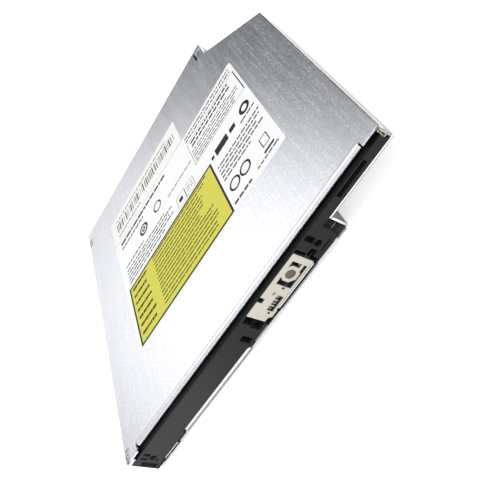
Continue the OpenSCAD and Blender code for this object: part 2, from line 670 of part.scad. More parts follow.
module front_screws() color("lightgray") from_front() for (s = screw_recesses) difference() {
  y_cylinder(s[0], s[1], 0.95, 1.5, 2.4);
  for (a = [0, 90]) translate([s[0], 1.6, s[1]]) rotate([0, a, 0]) cube([1.2, 0.6, 0.25], center = true);
}

// Shield under the tray

// Opening under the pickup and the motors.
module shield_cut() on_path() {
  translate([-21, -14]) square([79, 28]);
  translate([motor_u[0] - 0.8, 13]) square([motor_u[1] - motor_u[0] + 1.6, 9]);
}

module bottom_shield() color("lightgray") from_front() difference() {
  translate([0, 0, shield_z]) linear_extrude(shield_t) difference() {
    translate([-tray_x, front_wall_t + 0.2]) square([tray_x + deep_x, deep_end_y - front_wall_t - 0.2]);
    shield_cut();
  }
  for (p = boss_points) z_cylinder(p[0], p[1], 0.8, 0, far);
  // window of the flex cable's end
  block([flex_x[0] - 1, flex_tray_y - 2, 0], [flex_x[1] + 1, flex_tray_y + 1.5, far]);
  // windows of the latch and the damper screws
  block([deep_x - 4.6, hook_window[0], 0], [deep_x + 1, hook_window[1], far]);
  on_path() for (p = damper_points) z_cylinder(p[0], p[1], damper_r + 0.3, 0, far);
  z_cylinder(latch_pivot[0], latch_pivot[1], 1.6, 0, far);
}

module shield_screws() color("dimgray") from_front() for (p = boss_points) {
  z_cylinder(p[0], p[1], 0.7 - running_gap, shield_z, deep_z + 2.6);
  z_cylinder(p[0], p[1], 1.4, shield_z - 0.3, shield_z);
}

// Traverse, in its own frame: u along the pickup's path, v across it

rods_u = [window_u0 + 8, 65];

module chassis_outline() {
  difference() {
    union() {
      polygon([[-21.5, -20.6], [60, -20.6], [67, -14.5], [67, 14.5], [61.5, 21.4], [-21.5, 21.4]]);
      for (p = damper_points) translate(p) circle(ear_r);
      for (p = damper_points) translate([p[0] - ear_r, min(p[1], sign(p[1]) * 15)]) square([2 * ear_r, abs(p[1]) - 15]);
    }
    // opening of the pickup and of the spindle motor
    translate([10, -rod_v - 1.3]) square([54, 2 * rod_v + 2.6]);
    circle(11.9);
    translate([0, -9]) square([12, 18]);
    for (p = damper_points) translate(p) circle(damper_r - 0.5);
  }
}

module traverse_chassis() color("slategray") from_front() on_path() difference() {
  union() {
    translate([0, 0, chassis_z]) linear_extrude(chassis_t) chassis_outline();
    // pillars that hold the ends of the rods
    for (v = [-rod_v, rod_v], u = [rods_u[0] + 21, rods_u[1] - 1.5])
      block([u - 1.5, v - 1.9, chassis_z], [u + 1.5, v + 1.9, rod_z + 1.2]);
    // seats of the motor and of the screw's outer end
    block([-7, screw_v - 1.8, chassis_z], [-6.2, screw_v + 1.8, screw_z + 1.8]);
    block([62.2, screw_v - 1.6, chassis_z], [63.4, screw_v + 1.6, screw_z + 1.5]);
  }
  for (v = [-rod_v, rod_v]) translate([0, v, rod_z]) rotate([0, 90, 0]) cylinder(d = rod_d, h = far, center = true);
  translate([5, screw_v, screw_z]) rotate([0, 90, 0]) cylinder(d = screw_d + 2 * running_gap, h = 80);
  // relief under the sled motor
  block([-6.2, screw_v - sled_motor_d / 2 - 0.1, 0], [8.6, screw_v + sled_motor_d / 2 + 0.1, far]);
}

module guide_rods() color("whitesmoke") from_front() on_path() for (v = [-rod_v, rod_v])
  translate([rods_u[0] + 19.5, v, rod_z]) rotate([0, 90, 0]) cylinder(d = rod_d, h = rods_u[1] - rods_u[0] - 19.5);

module dampers() color("black") from_front() on_path() for (p = damper_points) difference() {
  union() {
    z_cylinder(p[0], p[1], damper_r - 0.5, chassis_z - slack, chassis_z + chassis_t + slack);
    z_cylinder(p[0], p[1], damper_r, chassis_z - 0.5, chassis_z);
    z_cylinder(p[0], p[1], damper_r, chassis_z + chassis_t, chassis_z + chassis_t + 0.9);
  }
  z_cylinder(p[0], p[1], 0.9, 0, far);
}

module traverse_cover() color("lightgray") from_front() on_path() difference() {
  union() {
    block([window_u0 + 0.3, -window_v + 0.3, cover_top_z - 0.4], [window_u1 - 0.3, window_v - 0.3, cover_top_z]);
    // folded sides that stand on the chassis
    for (s = [-1, 1]) {
      v = s * (window_v - 0.5);
      block([window_u0 + 0.3, v - 0.2, chassis_z + chassis_t], [window_u1 - 3, v + 0.2, cover_top_z - 0.4 + slack]);
    }
  }
  // round opening of the turntable and slot of the lens
  z_cylinder(0, 0, platform_d / 2 + 0.8, 0, far);
  translate([0, 0, cover_top_z - 1]) linear_extrude(far)
    round_rect(lens_r - 8.4, -6.2, lens_r + pickup_travel + 7.6, 6.2, 3);
  for (v = [-rod_v, rod_v]) block([-far, v - 2.4, 0], [far, v + 2.4, cover_top_z - 0.9]);
  for (u = [-12, 60]) for (v = [-12, 12]) z_cylinder(u, v, 0.6, 0, far);
}

// Spindle: stator on the chassis, turntable that turns

shaft_r = 1;
motor_base_z = 2.5;

module spindle_motor() color("goldenrod") from_front() on_path() {
  // base plate, bearing tube and nine wound poles
  difference() {
    union() {
      translate([0, 0, motor_base_z]) linear_extrude(0.5) {
        circle(13.4);
        translate([-20, -8]) square([20, 16]);
      }
      z_cylinder(0, 0, 2.4, motor_base_z, 6);
      z_cylinder(0, 0, 4, motor_base_z, 3.6 + slack);
    }
    z_cylinder(0, 0, shaft_r + running_gap, motor_base_z + 0.3, far);
  }
  difference() {
    translate([0, 0, 3.6]) linear_extrude(1.5) {
      circle(4.4);
      for (i = [0 : 8]) rotate(40 * i) {
        translate([3, -1.1]) square([4.6, 2.2]);
        translate([7, -1.9]) square([1.6, 3.8]);
      }
    }
    z_cylinder(0, 0, 2.4 - slack, 0, far);
  }
}

pad_w = 2.6;
hub_top = disc_z + hub_h;
claw_deg = [90, 210, 330];

module turntable() color("darkgray") from_front() on_path() difference() {
  union() {
    rotate_extrude() polygon([
      [0, 6.2], [8.9, 6.2], [8.9, 3.6], [9.7, 3.6], [9.7, 7.2], [platform_d / 2, 7.9],
      [platform_d / 2, disc_z - 0.35], [hub_d / 2, disc_z - 0.35], [hub_d / 2, disc_z + 0.9],
      [hub_d / 2 - 1.2, hub_top], [3, hub_top], [2.4, hub_top - 0.4], [0, hub_top - 0.4]]);
    z_cylinder(0, 0, shaft_r, motor_base_z + 0.35, 6.2 + slack);
  }
  // radial slots of the three claws
  for (a = claw_deg) rotate(a) block([4.2, -1.3, disc_z + 0.1], [hub_d, 1.3, disc_z + 1.3]);
}

module turntable_ring() color("black") from_front() on_path() difference() {
  z_cylinder(0, 0, platform_d / 2, disc_z - 0.35, disc_z);
  z_cylinder(0, 0, platform_d / 2 - pad_w, 0, far);
}

// Claw that springs outwards over the disc's edge.
module hub_claw(a) color("ivory") from_front() on_path() rotate(a)
  along_y(-1.2, 1.2) polygon([[4.8, disc_z + 0.2], [hub_d / 2 - 0.1, disc_z + 0.2], [hub_d / 2 + 0.35, disc_z + 0.7],
    [hub_d / 2 - 0.4, disc_z + 1.2], [4.8, disc_z + 1.2]]);

module hub_claw_1() hub_claw(claw_deg[0]);
module hub_claw_2() hub_claw(claw_deg[1]);
module hub_claw_3() hub_claw(claw_deg[2]);

// Sled motor and lead screw

module sled_motor() color("silver") from_front() on_path() difference() {
  union() {
    translate([motor_u[0], screw_v, screw_z]) rotate([0, 90, 0])
      cylinder(d = sled_motor_d, h = motor_u[1] - motor_u[0]);
    block([motor_u[0] + 1.5, screw_v + 1, screw_z - 1.6], [motor_u[1] - 4, screw_v + 3.4, screw_z + 1]);
  }
  translate([motor_u[0] + 2, screw_v, screw_z]) rotate([0, 90, 0]) cylinder(d = screw_d + 2 * running_gap, h = 30);
}

screw_u1 = 63;

module lead_screw() color("lightgray") from_front() on_path() translate([0, screw_v, screw_z]) {
  translate([motor_u[0] + 2.5, 0, 0]) rotate([0, 90, 0]) cylinder(d = screw_d, h = screw_u1 - motor_u[0] - 2.5);
}

// Pickup, its lens and its ribbon

pickup_z = [3.9, 6.5];

module pickup() color("dimgray") from_front() on_path() translate([lens_r, 0, 0]) difference() {
  union() {
    // body with a waist, arms to the two rods and a finger to the lead screw
    translate([0, 0, pickup_z[0]]) linear_extrude(pickup_z[1] - pickup_z[0]) {
      round_rect(-8, -11.5, 8, 11.5, 1.5);
      translate([-6.5, 10]) square([3.2, 7.4]);
      translate([1.6, 10]) square([3.2, 7.4]);
      translate([-2.4, -17.2]) square([4.8, 7]);
    }
    block([-1.2, 17.2, 3.9], [1.2, screw_v - screw_d / 2 - 0.15, 5.1]);
    block([-6.5, 16.4, 3.9], [4.8, 17.3, 6.2]);
    // raised frame round the lens holder
    translate([0, 0, pickup_z[1] - slack]) linear_extrude(0.5) difference() {
      round_rect(-5.4, -5.8, 5.4, 5.8, 1);
      round_rect(-4.6, -5, 4.6, 5, 0.6);
    }
  }
  translate([0, rod_v, rod_z]) rotate([0, 90, 0]) cylinder(d = rod_d + 2 * running_gap, h = 40, center = true);
  // fork on the second rod, open to the side
  translate([0, -rod_v, rod_z]) rotate([0, 90, 0]) cylinder(d = rod_d + 2 * running_gap, h = 40, center = true);
  block([-5, -20, rod_z - rod_d / 2 - running_gap], [5, -rod_v, rod_z + rod_d / 2 + running_gap]);
  // well of the lens holder, open below
  block([-4.6, -5, 0], [4.6, 5, far]);
}

holder_gap = 0.35;

module lens_holder() color("black") from_front() on_path() translate([lens_r, 0, 0]) difference() {
  union() {
    block([-4.6 + holder_gap, -5 + holder_gap, 4.6], [4.6 - holder_gap, 5 - holder_gap, 6.4]);
    z_cylinder(0, 0, 3, 6.3, 7);
  }
  z_cylinder(0, 0, 2.1, 6.3, far);
}

module lens() color("lightblue") from_front() on_path() translate([lens_r, 0, 6.3])
  rotate_extrude() polygon([for (p = concat([[0, 0], [2.1, 0], [2.1, 0.45]],
    [for (i = [1 : 6]) [2.1 * cos(15 * i), 0.45 + 0.35 * sin(15 * i)]])) p]);

ribbon_v = [-9, -1];

module pickup_ribbon() color("sandybrown") from_front() on_path() translate([0, ribbon_v[1], 0]) rotate([90, 0, 0])
  linear_extrude(ribbon_v[1] - ribbon_v[0]) {
    translate([14, 2.32]) square([32, 0.12]);
    translate([lens_r + 5, 3.72]) square([46 - lens_r - 5, 0.12]);
    difference() {
      translate([46, 3.08]) circle(0.76);
      translate([46, 3.08]) circle(0.64);
      translate([41, 0]) square([5, 6]);
    }
  }

// Main board, its chips and sockets, in the left rear of the tray

board_z = 3;
board_left = -half_w + 4.4;
board_right = step_x - 13.7;
board_rear_y = deep_end_y - 2;
// Strip along the pickup's path that the board keeps clear: start, side edge and length.
board_clear = [-25.5, -28.3, 120];

module main_board() color("darkgreen") from_front() translate([0, 0, board_z]) linear_extrude(board_t) difference() {
  polygon([[board_left, 42], [board_left, board_rear_y], [board_right, board_rear_y],
    [board_right, board_rear_y - 22], [board_right - 14.4, board_rear_y - 22], [-22, 70]]);
  on_path() translate([board_clear[0], board_clear[1]]) square([board_clear[2], -2 * board_clear[1] - 0.6]);
  for (p = boss_points) translate([p[0], p[1]]) circle(boss_r + 0.5);
}

// Chips: place from the board's left and rear edges, width, depth and height.
chip_list = [[9.6, 30, 12, 12, 1.2], [26.6, 16, 9, 9, 1], [7.6, 13, 7, 10, 1], [41.6, 7, 8, 5, 0.9],
  [64.6, 6, 8, 6, 1.1], [75.6, 12, 6, 6, 1.3], [19.6, 5, 5, 4, 1.6], [6.6, 40.5, 4, 5, 0.8], [75.6, 4.5, 4, 4, 1.5]];

module board_chips() color("black") from_front() for (c = chip_list)
  translate([board_left + c[0] - c[2] / 2, board_rear_y - c[1] - c[3] / 2, board_z + board_t]) cube([c[2], c[3], c[4]]);

module board_sockets() color("ivory") from_front() {
  // socket of the flex cable below the board and socket of the pickup's ribbon
  block([flex_x[0] - 0.5, flex_tray_y - 1, deep_z + 0.1], [flex_x[1] + 0.5, flex_tray_y + 1, board_z]);
  translate([board_left + 13.6, board_rear_y - 23.4, board_z + board_t]) cube([8, 3.2, 1.2]);
}

// Lock solenoid with its plunger, latch lever, push rod and its spring

solenoid = [16, 26.4, 31, 44];
solenoid_z = [2.65, 6.4];
arm_rel = [-8, 2];
lever_z = [2.75, 3.35];
plunger_x = latch_pivot[0] + arm_rel[0];
plunger_z = 4.6;
plunger_r = 1.1;

module lock_solenoid() color("saddlebrown") from_front() difference() {
  union() {
    block([solenoid[0] + 1.6, solenoid[2] + 1, solenoid_z[0] + 0.3], [solenoid[1] - 0.6, solenoid[3] - 1, solenoid_z[1] - 0.2]);
    // sheet yoke round the coil
    for (y = [solenoid[2], solenoid[3] - 1]) block([solenoid[0] + 1.2, y, solenoid_z[0]], [solenoid[1], y + 1, solenoid_z[1]]);
    block([solenoid[0] + 0.6, solenoid[2], solenoid_z[0]], [solenoid[0] + 1.6 + slack, solenoid[3], solenoid_z[1]]);
  }
  y_cylinder(plunger_x, plunger_z, plunger_r + running_gap, solenoid[2] - 1, solenoid[3] - 2);
}

module solenoid_plunger() color("silver") from_front() {
  y0 = latch_pivot[1] + arm_rel[1] - 1;
  y_cylinder(plunger_x, plunger_z, plunger_r, y0, solenoid[3] - 4.5);
  z_cylinder(plunger_x, latch_pivot[1] + arm_rel[1], 0.7, lever_z[0] - 0.05, plunger_z);
}

module latch_lever() color("lightgray") from_front()
translate([latch_pivot[0], latch_pivot[1], lever_z[0]]) difference() {
  linear_extrude(lever_z[1] - lever_z[0]) {
    circle(2);
    // arm to the hook, the hook's nose and the arm to the plunger
    polygon([[-1.4, -1], [3.9, -8.8], [5.6, -8.8], [6.2, -7.4], [5, -6.6], [1.9, -0.4]]);
    polygon([[0, -1.4], [0, 1.8], [-9.4, 3.9], [-9.4, 0.2]]);
  }
  cylinder(r = pivot_r + running_gap, h = 10, center = true);
  translate([arm_rel[0], arm_rel[1], 0]) {
    cylinder(r = 0.95, h = 10, center = true);
    translate([-2, -0.95, -5]) cube([2.6, 1.9, 10]);
  }
}

module push_rod() color("whitesmoke") from_front() {
  block([push_x - 1.6, rod_end_y, push_z[0]], [push_x + 1.6, body_d - pan_t - 0.2, push_z[1]]);
  // collar that the spring presses on and its guide pin
  y_cylinder(push_x, (push_z[0] + push_z[1]) / 2, 0.7, rod_end_y - 5, rod_end_y + slack);
}

// Compression spring: each half turn is half a ring, tilted so that its ends meet the
// next half turns in the same point and the same direction.
module push_spring() color("silver") from_front() {
  tilt = asin(spring_pitch / 4 / spring_r);
  translate([push_x, spring_seat_y + spring_wire_r, (push_z[0] + push_z[1]) / 2])
    for (i = [0 : 2 * spring_turns - 1]) translate([0, spring_pitch * (i / 2 + 1 / 4), 0])
      rotate([0, 0, i % 2 == 0 ? -tilt : tilt]) rotate([90, 0, 0]) rotate(i % 2 == 0 ? 0 : 180)
        rotate_extrude(angle = 180, $fn = 24) translate([spring_r, 0]) circle(spring_wire_r, $fn = 14);
}

bottom_housing();
top_cover();
cover_screws();
rating_label();
barcode_label();
guide_left();
guide_right();
lock_catch();
connector_board();
rear_connector();
flex_cable();
rail_left();
rail_right();
tray();
front_plate();
front_board();
front_board_parts();
eject_switch();
front_screws();
bottom_shield();
shield_screws();
traverse_chassis();
traverse_cover();
guide_rods();
dampers();
spindle_motor();
sled_motor();
main_board();
board_chips();
board_sockets();
lock_solenoid();
turntable();
turntable_ring();
hub_claw_1();
hub_claw_2();
hub_claw_3();
pickup();
pickup_ribbon();
lens_holder();
lens();
lead_screw();
eject_button();
latch_lever();
solenoid_plunger();
push_rod();
push_spring();
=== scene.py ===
"""Looks of the slim disc drive. X to the right, Y from the tray's front to the rear, Z up, all in metres.

Most pieces come with the frame and get their finishes here. Made here are the print on the two labels, the
flat cables, the push spring, the lead screw with its groove, the rail's end hook, the rear contacts, the pins
in the front plate's window, and the small fittings on the boards and on the pickup.
"""
import math

import bpy
import numpy as np
from mathutils import Matrix, Vector

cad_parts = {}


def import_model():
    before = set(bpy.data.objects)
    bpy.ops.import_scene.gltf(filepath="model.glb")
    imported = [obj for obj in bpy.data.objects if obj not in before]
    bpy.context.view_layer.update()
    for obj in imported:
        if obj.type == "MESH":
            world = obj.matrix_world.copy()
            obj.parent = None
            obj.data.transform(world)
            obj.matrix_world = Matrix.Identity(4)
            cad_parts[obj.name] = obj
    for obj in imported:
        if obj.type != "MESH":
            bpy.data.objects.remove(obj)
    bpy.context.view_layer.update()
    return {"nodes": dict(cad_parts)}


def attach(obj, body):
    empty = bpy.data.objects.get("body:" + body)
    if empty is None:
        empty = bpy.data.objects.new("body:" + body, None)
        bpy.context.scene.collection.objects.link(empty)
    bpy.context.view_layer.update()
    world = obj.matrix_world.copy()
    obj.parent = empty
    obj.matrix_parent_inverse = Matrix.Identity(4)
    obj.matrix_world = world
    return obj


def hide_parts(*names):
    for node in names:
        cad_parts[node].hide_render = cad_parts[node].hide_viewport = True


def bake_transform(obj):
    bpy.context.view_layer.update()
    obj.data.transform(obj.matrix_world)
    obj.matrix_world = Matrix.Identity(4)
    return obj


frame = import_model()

MM = 0.001
FRONT = -0.06305  # the tray's front face, from which most depths are counted
TOP = 0.0127  # upper face of the cover
LABEL = TOP + 0.08 * MM  # upper face of both labels
DISC_DEPTH = 64.5  # depth of the disc's axis in mm
DISC = (0.0, FRONT + DISC_DEPTH * MM)  # the disc's axis
PATH = math.radians(225)  # the way that the pickup runs from the disc's axis
LENS = 24.0  # distance in mm of the resting lens from the disc's axis


def depth(y):
    """Y in metres of a depth in millimetres behind the tray's front face."""
    return FRONT + y * MM


def shade(r, g, b):
    """A colour as a screen shows it, 0 to 255, turned into the linear values that shaders take."""
    c = np.array([r, g, b]) / 255
    linear = np.where(c <= 0.04045, c / 12.92, ((c + 0.055) / 1.055) ** 2.4)
    return (*[round(float(v), 5) for v in linear], 1.0)


# Shapes


def piece(name, verts, faces, finish, body, slot, smooth=False):
    """A mesh from an array of points in metres and its faces, with its finish and its body; its slot is not
    used.

    body is None for a piece that is attached to no body."""
    mesh = bpy.data.meshes.new(name)
    mesh.from_pydata(np.asarray(verts, float).reshape(-1, 3).tolist(), [], [list(map(int, f)) for f in faces])
    mesh.validate()
    mesh.update()
    mesh.polygons.foreach_set("use_smooth", [smooth] * len(mesh.polygons))
    mesh.materials.append(finish)
    made = bpy.data.objects.new(name, mesh)
    bpy.context.scene.collection.objects.link(made)
    if body:
        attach(made, body)
    return made


def box_arrays(low, high):
    """Closed boxes: corner k of a box takes x, y or z from its low or high corner by the bits of k."""
    low, high = np.atleast_2d(np.asarray(low, float)), np.atleast_2d(np.asarray(high, float))
    bits = np.array([[k & 1, k >> 1 & 1, k >> 2 & 1] for k in range(8)])
    verts = low[:, None] + bits[None] * (high - low)[:, None]
    sides = np.array([[0, 2, 3, 1], [4, 5, 7, 6], [0, 1, 5, 4], [2, 6, 7, 3], [0, 4, 6, 2], [1, 3, 7, 5]])
    faces = sides[None] + 8 * np.arange(len(low))[:, None, None]
    return verts.reshape(-1, 3), faces.reshape(-1, 4)


def grid_faces(m, n, wrap_u=False, wrap_v=False):
    """Quads between neighbouring points of an m by n grid, joined round where a direction closes."""
    i = np.arange(m if wrap_u else m - 1)[:, None]
    j = np.arange(n if wrap_v else n - 1)[None]
    k = (i + 1) % m
    l = (j + 1) % n
    return np.stack([i * n + j, k * n + j, k * n + l, i * n + l], -1).reshape(-1, 4)


def tube_arrays(path, radius, side=(0, 0, 1), sides=10):
    """A closed tube: at each point of the path a circle across it, with flat ends.

    The path never runs along side."""
    path = np.asarray(path, float)
    along = np.gradient(path, axis=0)
    along /= np.linalg.norm(along, axis=1)[:, None]
    a = np.cross(along, side)
    a /= np.linalg.norm(a, axis=1)[:, None]
    b = np.cross(along, a)
    t = np.linspace(0, 2 * np.pi, sides, endpoint=False)[None, :, None]
    radius = np.broadcast_to(radius, len(path))[:, None, None]
    verts = path[:, None] + radius * (a[:, None] * np.cos(t) + b[:, None] * np.sin(t))
    n = len(path)
    faces = [list(f) for f in grid_faces(n, sides, wrap_v=True)]
    faces += [list(range(sides - 1, -1, -1)), [(n - 1) * sides + k for k in range(sides)]]
    return verts.reshape(-1, 3), faces


def band_arrays(path, half, thick):
    """A flat cable: a rectangle of the given half width and thickness at each point of the path."""
    path, half = np.asarray(path, float), np.asarray(half, float)
    along = np.gradient(path, axis=0)
    up = np.cross(along, half)
    up *= thick / 2 / np.linalg.norm(up, axis=1)[:, None]
    verts = np.stack([path - half - up, path + half - up, path + half + up, path - half + up], 1)
    n = len(path)
    faces = [list(f) for f in grid_faces(n, 4, wrap_v=True)]
    return verts.reshape(-1, 3), faces + [[3, 2, 1, 0], [4 * n - 4, 4 * n - 3, 4 * n - 2, 4 * n - 1]]


def ring_arrays(x, y, inner, outer, low, high, sides=48):
    """A flat ring: the rectangle between two radii and two heights, turned about a standing axis."""
    t = np.linspace(0, 2 * np.pi, sides, endpoint=False)[:, None]
    r = np.array([inner, outer, outer, inner])[None]
    z = np.broadcast_to(np.array([low, low, high, high])[None], (sides, 4))
    verts = np.stack([x + r * np.cos(t), y + r * np.sin(t), z], -1)
    return verts.reshape(-1, 3), grid_faces(sides, 4, True, True)


def joined(parts):
    """Several point and face lists made into one."""
    verts, faces, start = [], [], 0
    for v, f in parts:
        verts.append(np.asarray(v))
        faces += [[int(k) + start for k in face] for face in f]
        start += len(v)
    return np.vstack(verts), faces


def in_front(points):
    """Points given in mm, with Y as the depth behind the tray's front face, brought to their place."""
    return np.asarray(points, float) * MM + [0, FRONT, 0]


def on_path(points):
    """Points given as distance along the pickup's path, across it and height, in mm, put in place."""
    p = np.asarray(points, float) * MM
    u, v, z = p[..., 0], p[..., 1], p[..., 2]
    x = DISC[0] + u * math.cos(PATH) - v * math.sin(PATH)
    y = DISC[1] + u * math.sin(PATH) + v * math.cos(PATH)
    return np.stack([x, y, z], -1)


# Finishes


class Value:
    """An output socket in a node tree. Its operators add Math nodes."""

    def __init__(self, nodes, socket):
        self.nodes, self.socket = nodes, socket

    def math(self, operation, *others):
        return self.nodes.node("Math", {"operation": operation}, dict(enumerate((self, *others))))

    def __add__(self, other):
        return self.math("ADD", other)

    def __sub__(self, other):
        return self.math("SUBTRACT", other)

    def __mul__(self, other):
        return self.math("MULTIPLY", other)

    def __lt__(self, other):
        return self.math("LESS_THAN", other)

    def __gt__(self, other):
        return self.math("GREATER_THAN", other)

    def __rsub__(self, other):
        return (self * -1) + other

    __radd__, __rmul__ = __add__, __mul__

    def between(self, low, high, soft=0.0):
        """1 from low to high and 0 outside, with edges that fade over soft."""
        if not soft:
            return (self > low) * (self < high)
        return self.rise(low - soft, low + soft) * (1 - self.rise(high - soft, high + soft))

    def rise(self, low, high):
        """0 below low, 1 above high and a smooth step between them."""
        values = {"Value": self, "From Min": low, "From Max": high}
        return self.nodes.node("MapRange", {"interpolation_type": "SMOOTHSTEP"}, values)


class Nodes:
    """A node tree. node() adds any shader node, and the other methods add what the finishes share."""

    def __init__(self, tree):
        self.tree = tree

    def node(self, kind, settings=(), values=(), out=0):
        """One new node, with its properties and its inputs set, as its output of that name or number."""
        made = self.tree.nodes.new("ShaderNode" + kind)
        for key, value in dict(settings).items():
            setattr(made, key, value)
        for key, value in dict(values).items():
            self.feed(made.inputs[key], value)
        return Value(self, made.outputs[out])

    def feed(self, socket, value):
        if isinstance(value, Value):
            self.tree.links.new(value.socket, socket)
        else:
            socket.default_value = value

    def place(self, stretch=(1, 1, 1), turn=0.0):
        """Object coordinates, turned about Z and then stretched, as a vector."""
        spot = self.node("TexCoord", out="Object")
        if turn:
            spot = self.node("Mapping", (), {"Vector": spot, "Rotation": (0, 0, turn)})
        return self.node("Mapping", (), {"Vector": spot, "Scale": stretch})

    def axes(self, turn=0.0):
        """X, Y and Z of the object coordinates, turned about Z."""
        spot = self.place(turn=turn)
        return [self.node("SeparateXYZ", (), {0: spot}, out=k) for k in range(3)]

    def noise(self, scale, detail=3.0, rough=0.55, stretch=(1, 1, 1), turn=0.0):
        """Noise of about 0 to 1 over the object coordinates."""
        values = {"Vector": self.place(stretch, turn), "Scale": scale, "Detail": detail, "Roughness": rough}
        return self.node("TexNoise", (), values)

    def cells(self, scale):
        """Distance to the nearest of many scattered points."""
        return self.node("TexVoronoi", (), {"Vector": self.place(), "Scale": scale})

    def blend(self, amount, first, second):
        """A colour that goes from the first to the second as the amount goes from 0 to 1."""
        return self.node("Mix", {"data_type": "RGBA"}, {0: amount, 6: first, 7: second}, out=2)


class Finish(Nodes):
    """A material with one Principled shader, whose sockets are named here in small letters."""

    def __init__(self, name, **fixed):
        self.material = bpy.data.materials.new(name)
        self.material.use_nodes = True
        super().__init__(self.material.node_tree)
        self.shader = self.tree.nodes["Principled BSDF"]
        for key, value in fixed.items():
            self.shader.inputs[self.label(key)].default_value = value

    def label(self, key):
        """The socket's own name for a name in small letters."""
        return key.replace("_", " ").title().replace("Ior", "IOR")

    def set(self, **values):
        for key, value in values.items():
            self.feed(self.shader.inputs[self.label(key)], value)
        return self

    def relief(self, height, reach, strength=1.0):
        """Bumps of the given height field, reach being the height of a full step in metres."""
        values = {"Height": height, "Distance": reach, "Strength": strength}
        return self.set(normal=self.node("Bump", (), values))


def painted_light_band(tone, x=(None, None), y=(None, None), z=(None, None)):
    """A band of painted highlight or painted shade along a sheet's edge, between these bounds in metres, None
    where it has none.
    """
    return shade(*tone), (x, y, z)


def sheet_metal(name, tone, rough, grain_turn=0.0, grain=1.0, metal=0.92, frost=0.0, bands=()):
    """Rolled sheet: fine streaks along the rolling direction, a speckle, faint clouds and rubbed spots.

    frost adds pale flecks in rows along the depth, and bands lists the bands of painted highlight and painted
    shade along the sheet's edges."""
    f = Finish(name, metallic=metal)
    streaks = f.noise(2600, 3, 0.6, (1, 0.07, 1), grain_turn)
    speckle = f.noise(3800, 2, 0.6)
    clouds = f.noise(35, 3, 0.5)
    rubbed = f.noise(140, 5, 0.7).rise(0.62, 0.8)
    tint = f.blend(streaks * 0.4 * grain + speckle * 0.3 + clouds * 0.3, tone[0], tone[1])
    place = f.axes()
    # Bands of painted highlight and painted shade laid over the sheet's tone along its edges
    for painted_tone, spans in bands:
        inside = 1.0
        for axis, (start, end) in zip(place, spans):
            if start is not None:
                inside = (axis > start) * inside
            if end is not None:
                inside = (axis < end) * inside
        tint = f.blend(inside * 0.9, tint, painted_tone)
    f.set(base_color=tint, roughness=streaks * 0.1 * grain + clouds * 0.06 + rubbed * 0.06 + rough)
    if frost:
        rows = f.noise(1300, 0, 0.5, (1, 0.03, 1), grain_turn).rise(0.42, 0.58) * 0.5 + 0.5
        flecks = f.noise(3100, 0, 0.5).rise(0.46, 0.6) * rows
        frosted = f.blend(flecks * 2 * frost, tint, shade(252, 252, 254))
        f.set(base_color=frosted, metallic=metal - flecks * frost)
    return f.relief(streaks * grain + speckle, 0.002 * MM, 0.5).material


def plastic(name, tone, rough, pebble=0.5, scale=2600, face=None, inside=None, shine=0.5):
    """Moulded plastic: a fine pebbled skin, cloudy colour and flow marks.

    face gives the tray's front its painted shade: a tone for the left end and one for the right end, painted
    shading that darkens it from the left end to the right, and the painted shadow on the rim under the
    cover's lip and on the foot.
    inside is painted shade on the front plate's walls and back, behind its front skin, where its windows lie
    in shade."""
    f = Finish(name, specular_ior_level=shine)
    skin = f.noise(scale, 3, 0.6)
    clouds = f.noise(60, 3)
    flow = f.noise(220, 2, 0.5, (0.25, 1, 1))
    tint = f.blend(clouds * 0.6 + flow * 0.4, tone[0], tone[1])
    if face:
        # Painted shade on the tray's front: lighter at the left end and darker at the right, with a painted
        # shadow on the rim under the cover's lip and on the foot
        x, y, z = f.axes()
        front = (y < depth(3)) * 0.85
        tint = f.blend(front, tint, f.blend(x.rise(-0.042, 0.002), face[0], face[1]))
        rim_and_foot_shadow = (z > TOP - 1.95 * MM).math("MAXIMUM", z < 2.1 * MM)
        tint = f.blend(rim_and_foot_shadow * front, tint, face[2])
    # Painted shade on the walls and back of the front plate's windows
    if inside:
        tint = f.blend((f.axes()[1] > depth(0.2)) * 0.9, tint, inside)
    f.set(base_color=tint, roughness=skin * 0.16 + flow * 0.06 + rough)
    return f.relief(skin, 0.02 * MM * pebble, 0.8).material


def machined(name, tone, rough, centre=None):
    """Turned or drawn metal: circles round a centre, or fine lines along the piece."""
    f = Finish(name, metallic=1.0)
    if centre is None:
        lines = f.noise(1500, 3, 0.6, (0.1, 0.1, 1))
    else:
        x, y, _ = f.axes()
        radius = ((x - centre[0]) * (x - centre[0]) + (y - centre[1]) * (y - centre[1])).math("SQRT")
        lines = (radius * 9000).math("SINE") * 0.5 + 0.5
    clouds = f.noise(90, 3)
    tint = f.blend(clouds * 0.5 + lines * 0.4, tone[0], tone[1])
    f.set(base_color=tint, roughness=clouds * 0.1 + lines * 0.06 + rough)
    return f.relief(lines, 0.003 * MM, 0.5).material


def circuit_board(name, lacquer):
    """Circuit board: lacquer, paler where it lies over the raised copper tracks, and tinned vias."""
    f = Finish(name, coat_weight=0.35, coat_roughness=0.15)
    x, y, _ = f.axes()
    bend = f.noise(120, 1) * 0.9 * MM
    tracks = ((x + bend) * 1150).math("FRACT").between(0.35, 0.75, 0.05)
    across = ((y + bend) * 900).math("FRACT").between(0.4, 0.7, 0.05)
    patch = f.noise(90, 0).rise(0.48, 0.52)
    copper = tracks * patch + across * (1 - patch)
    vias = f.cells(420) < 0.16
    tint = f.blend(copper, lacquer[0], lacquer[1])
    tint = f.blend(vias, tint, shade(196, 190, 170))
    f.set(base_color=tint, metallic=vias * 0.8, roughness=f.noise(400) * 0.15 + 0.28)
    return f.relief(copper + vias * 0.5, 0.03 * MM, 0.6).material


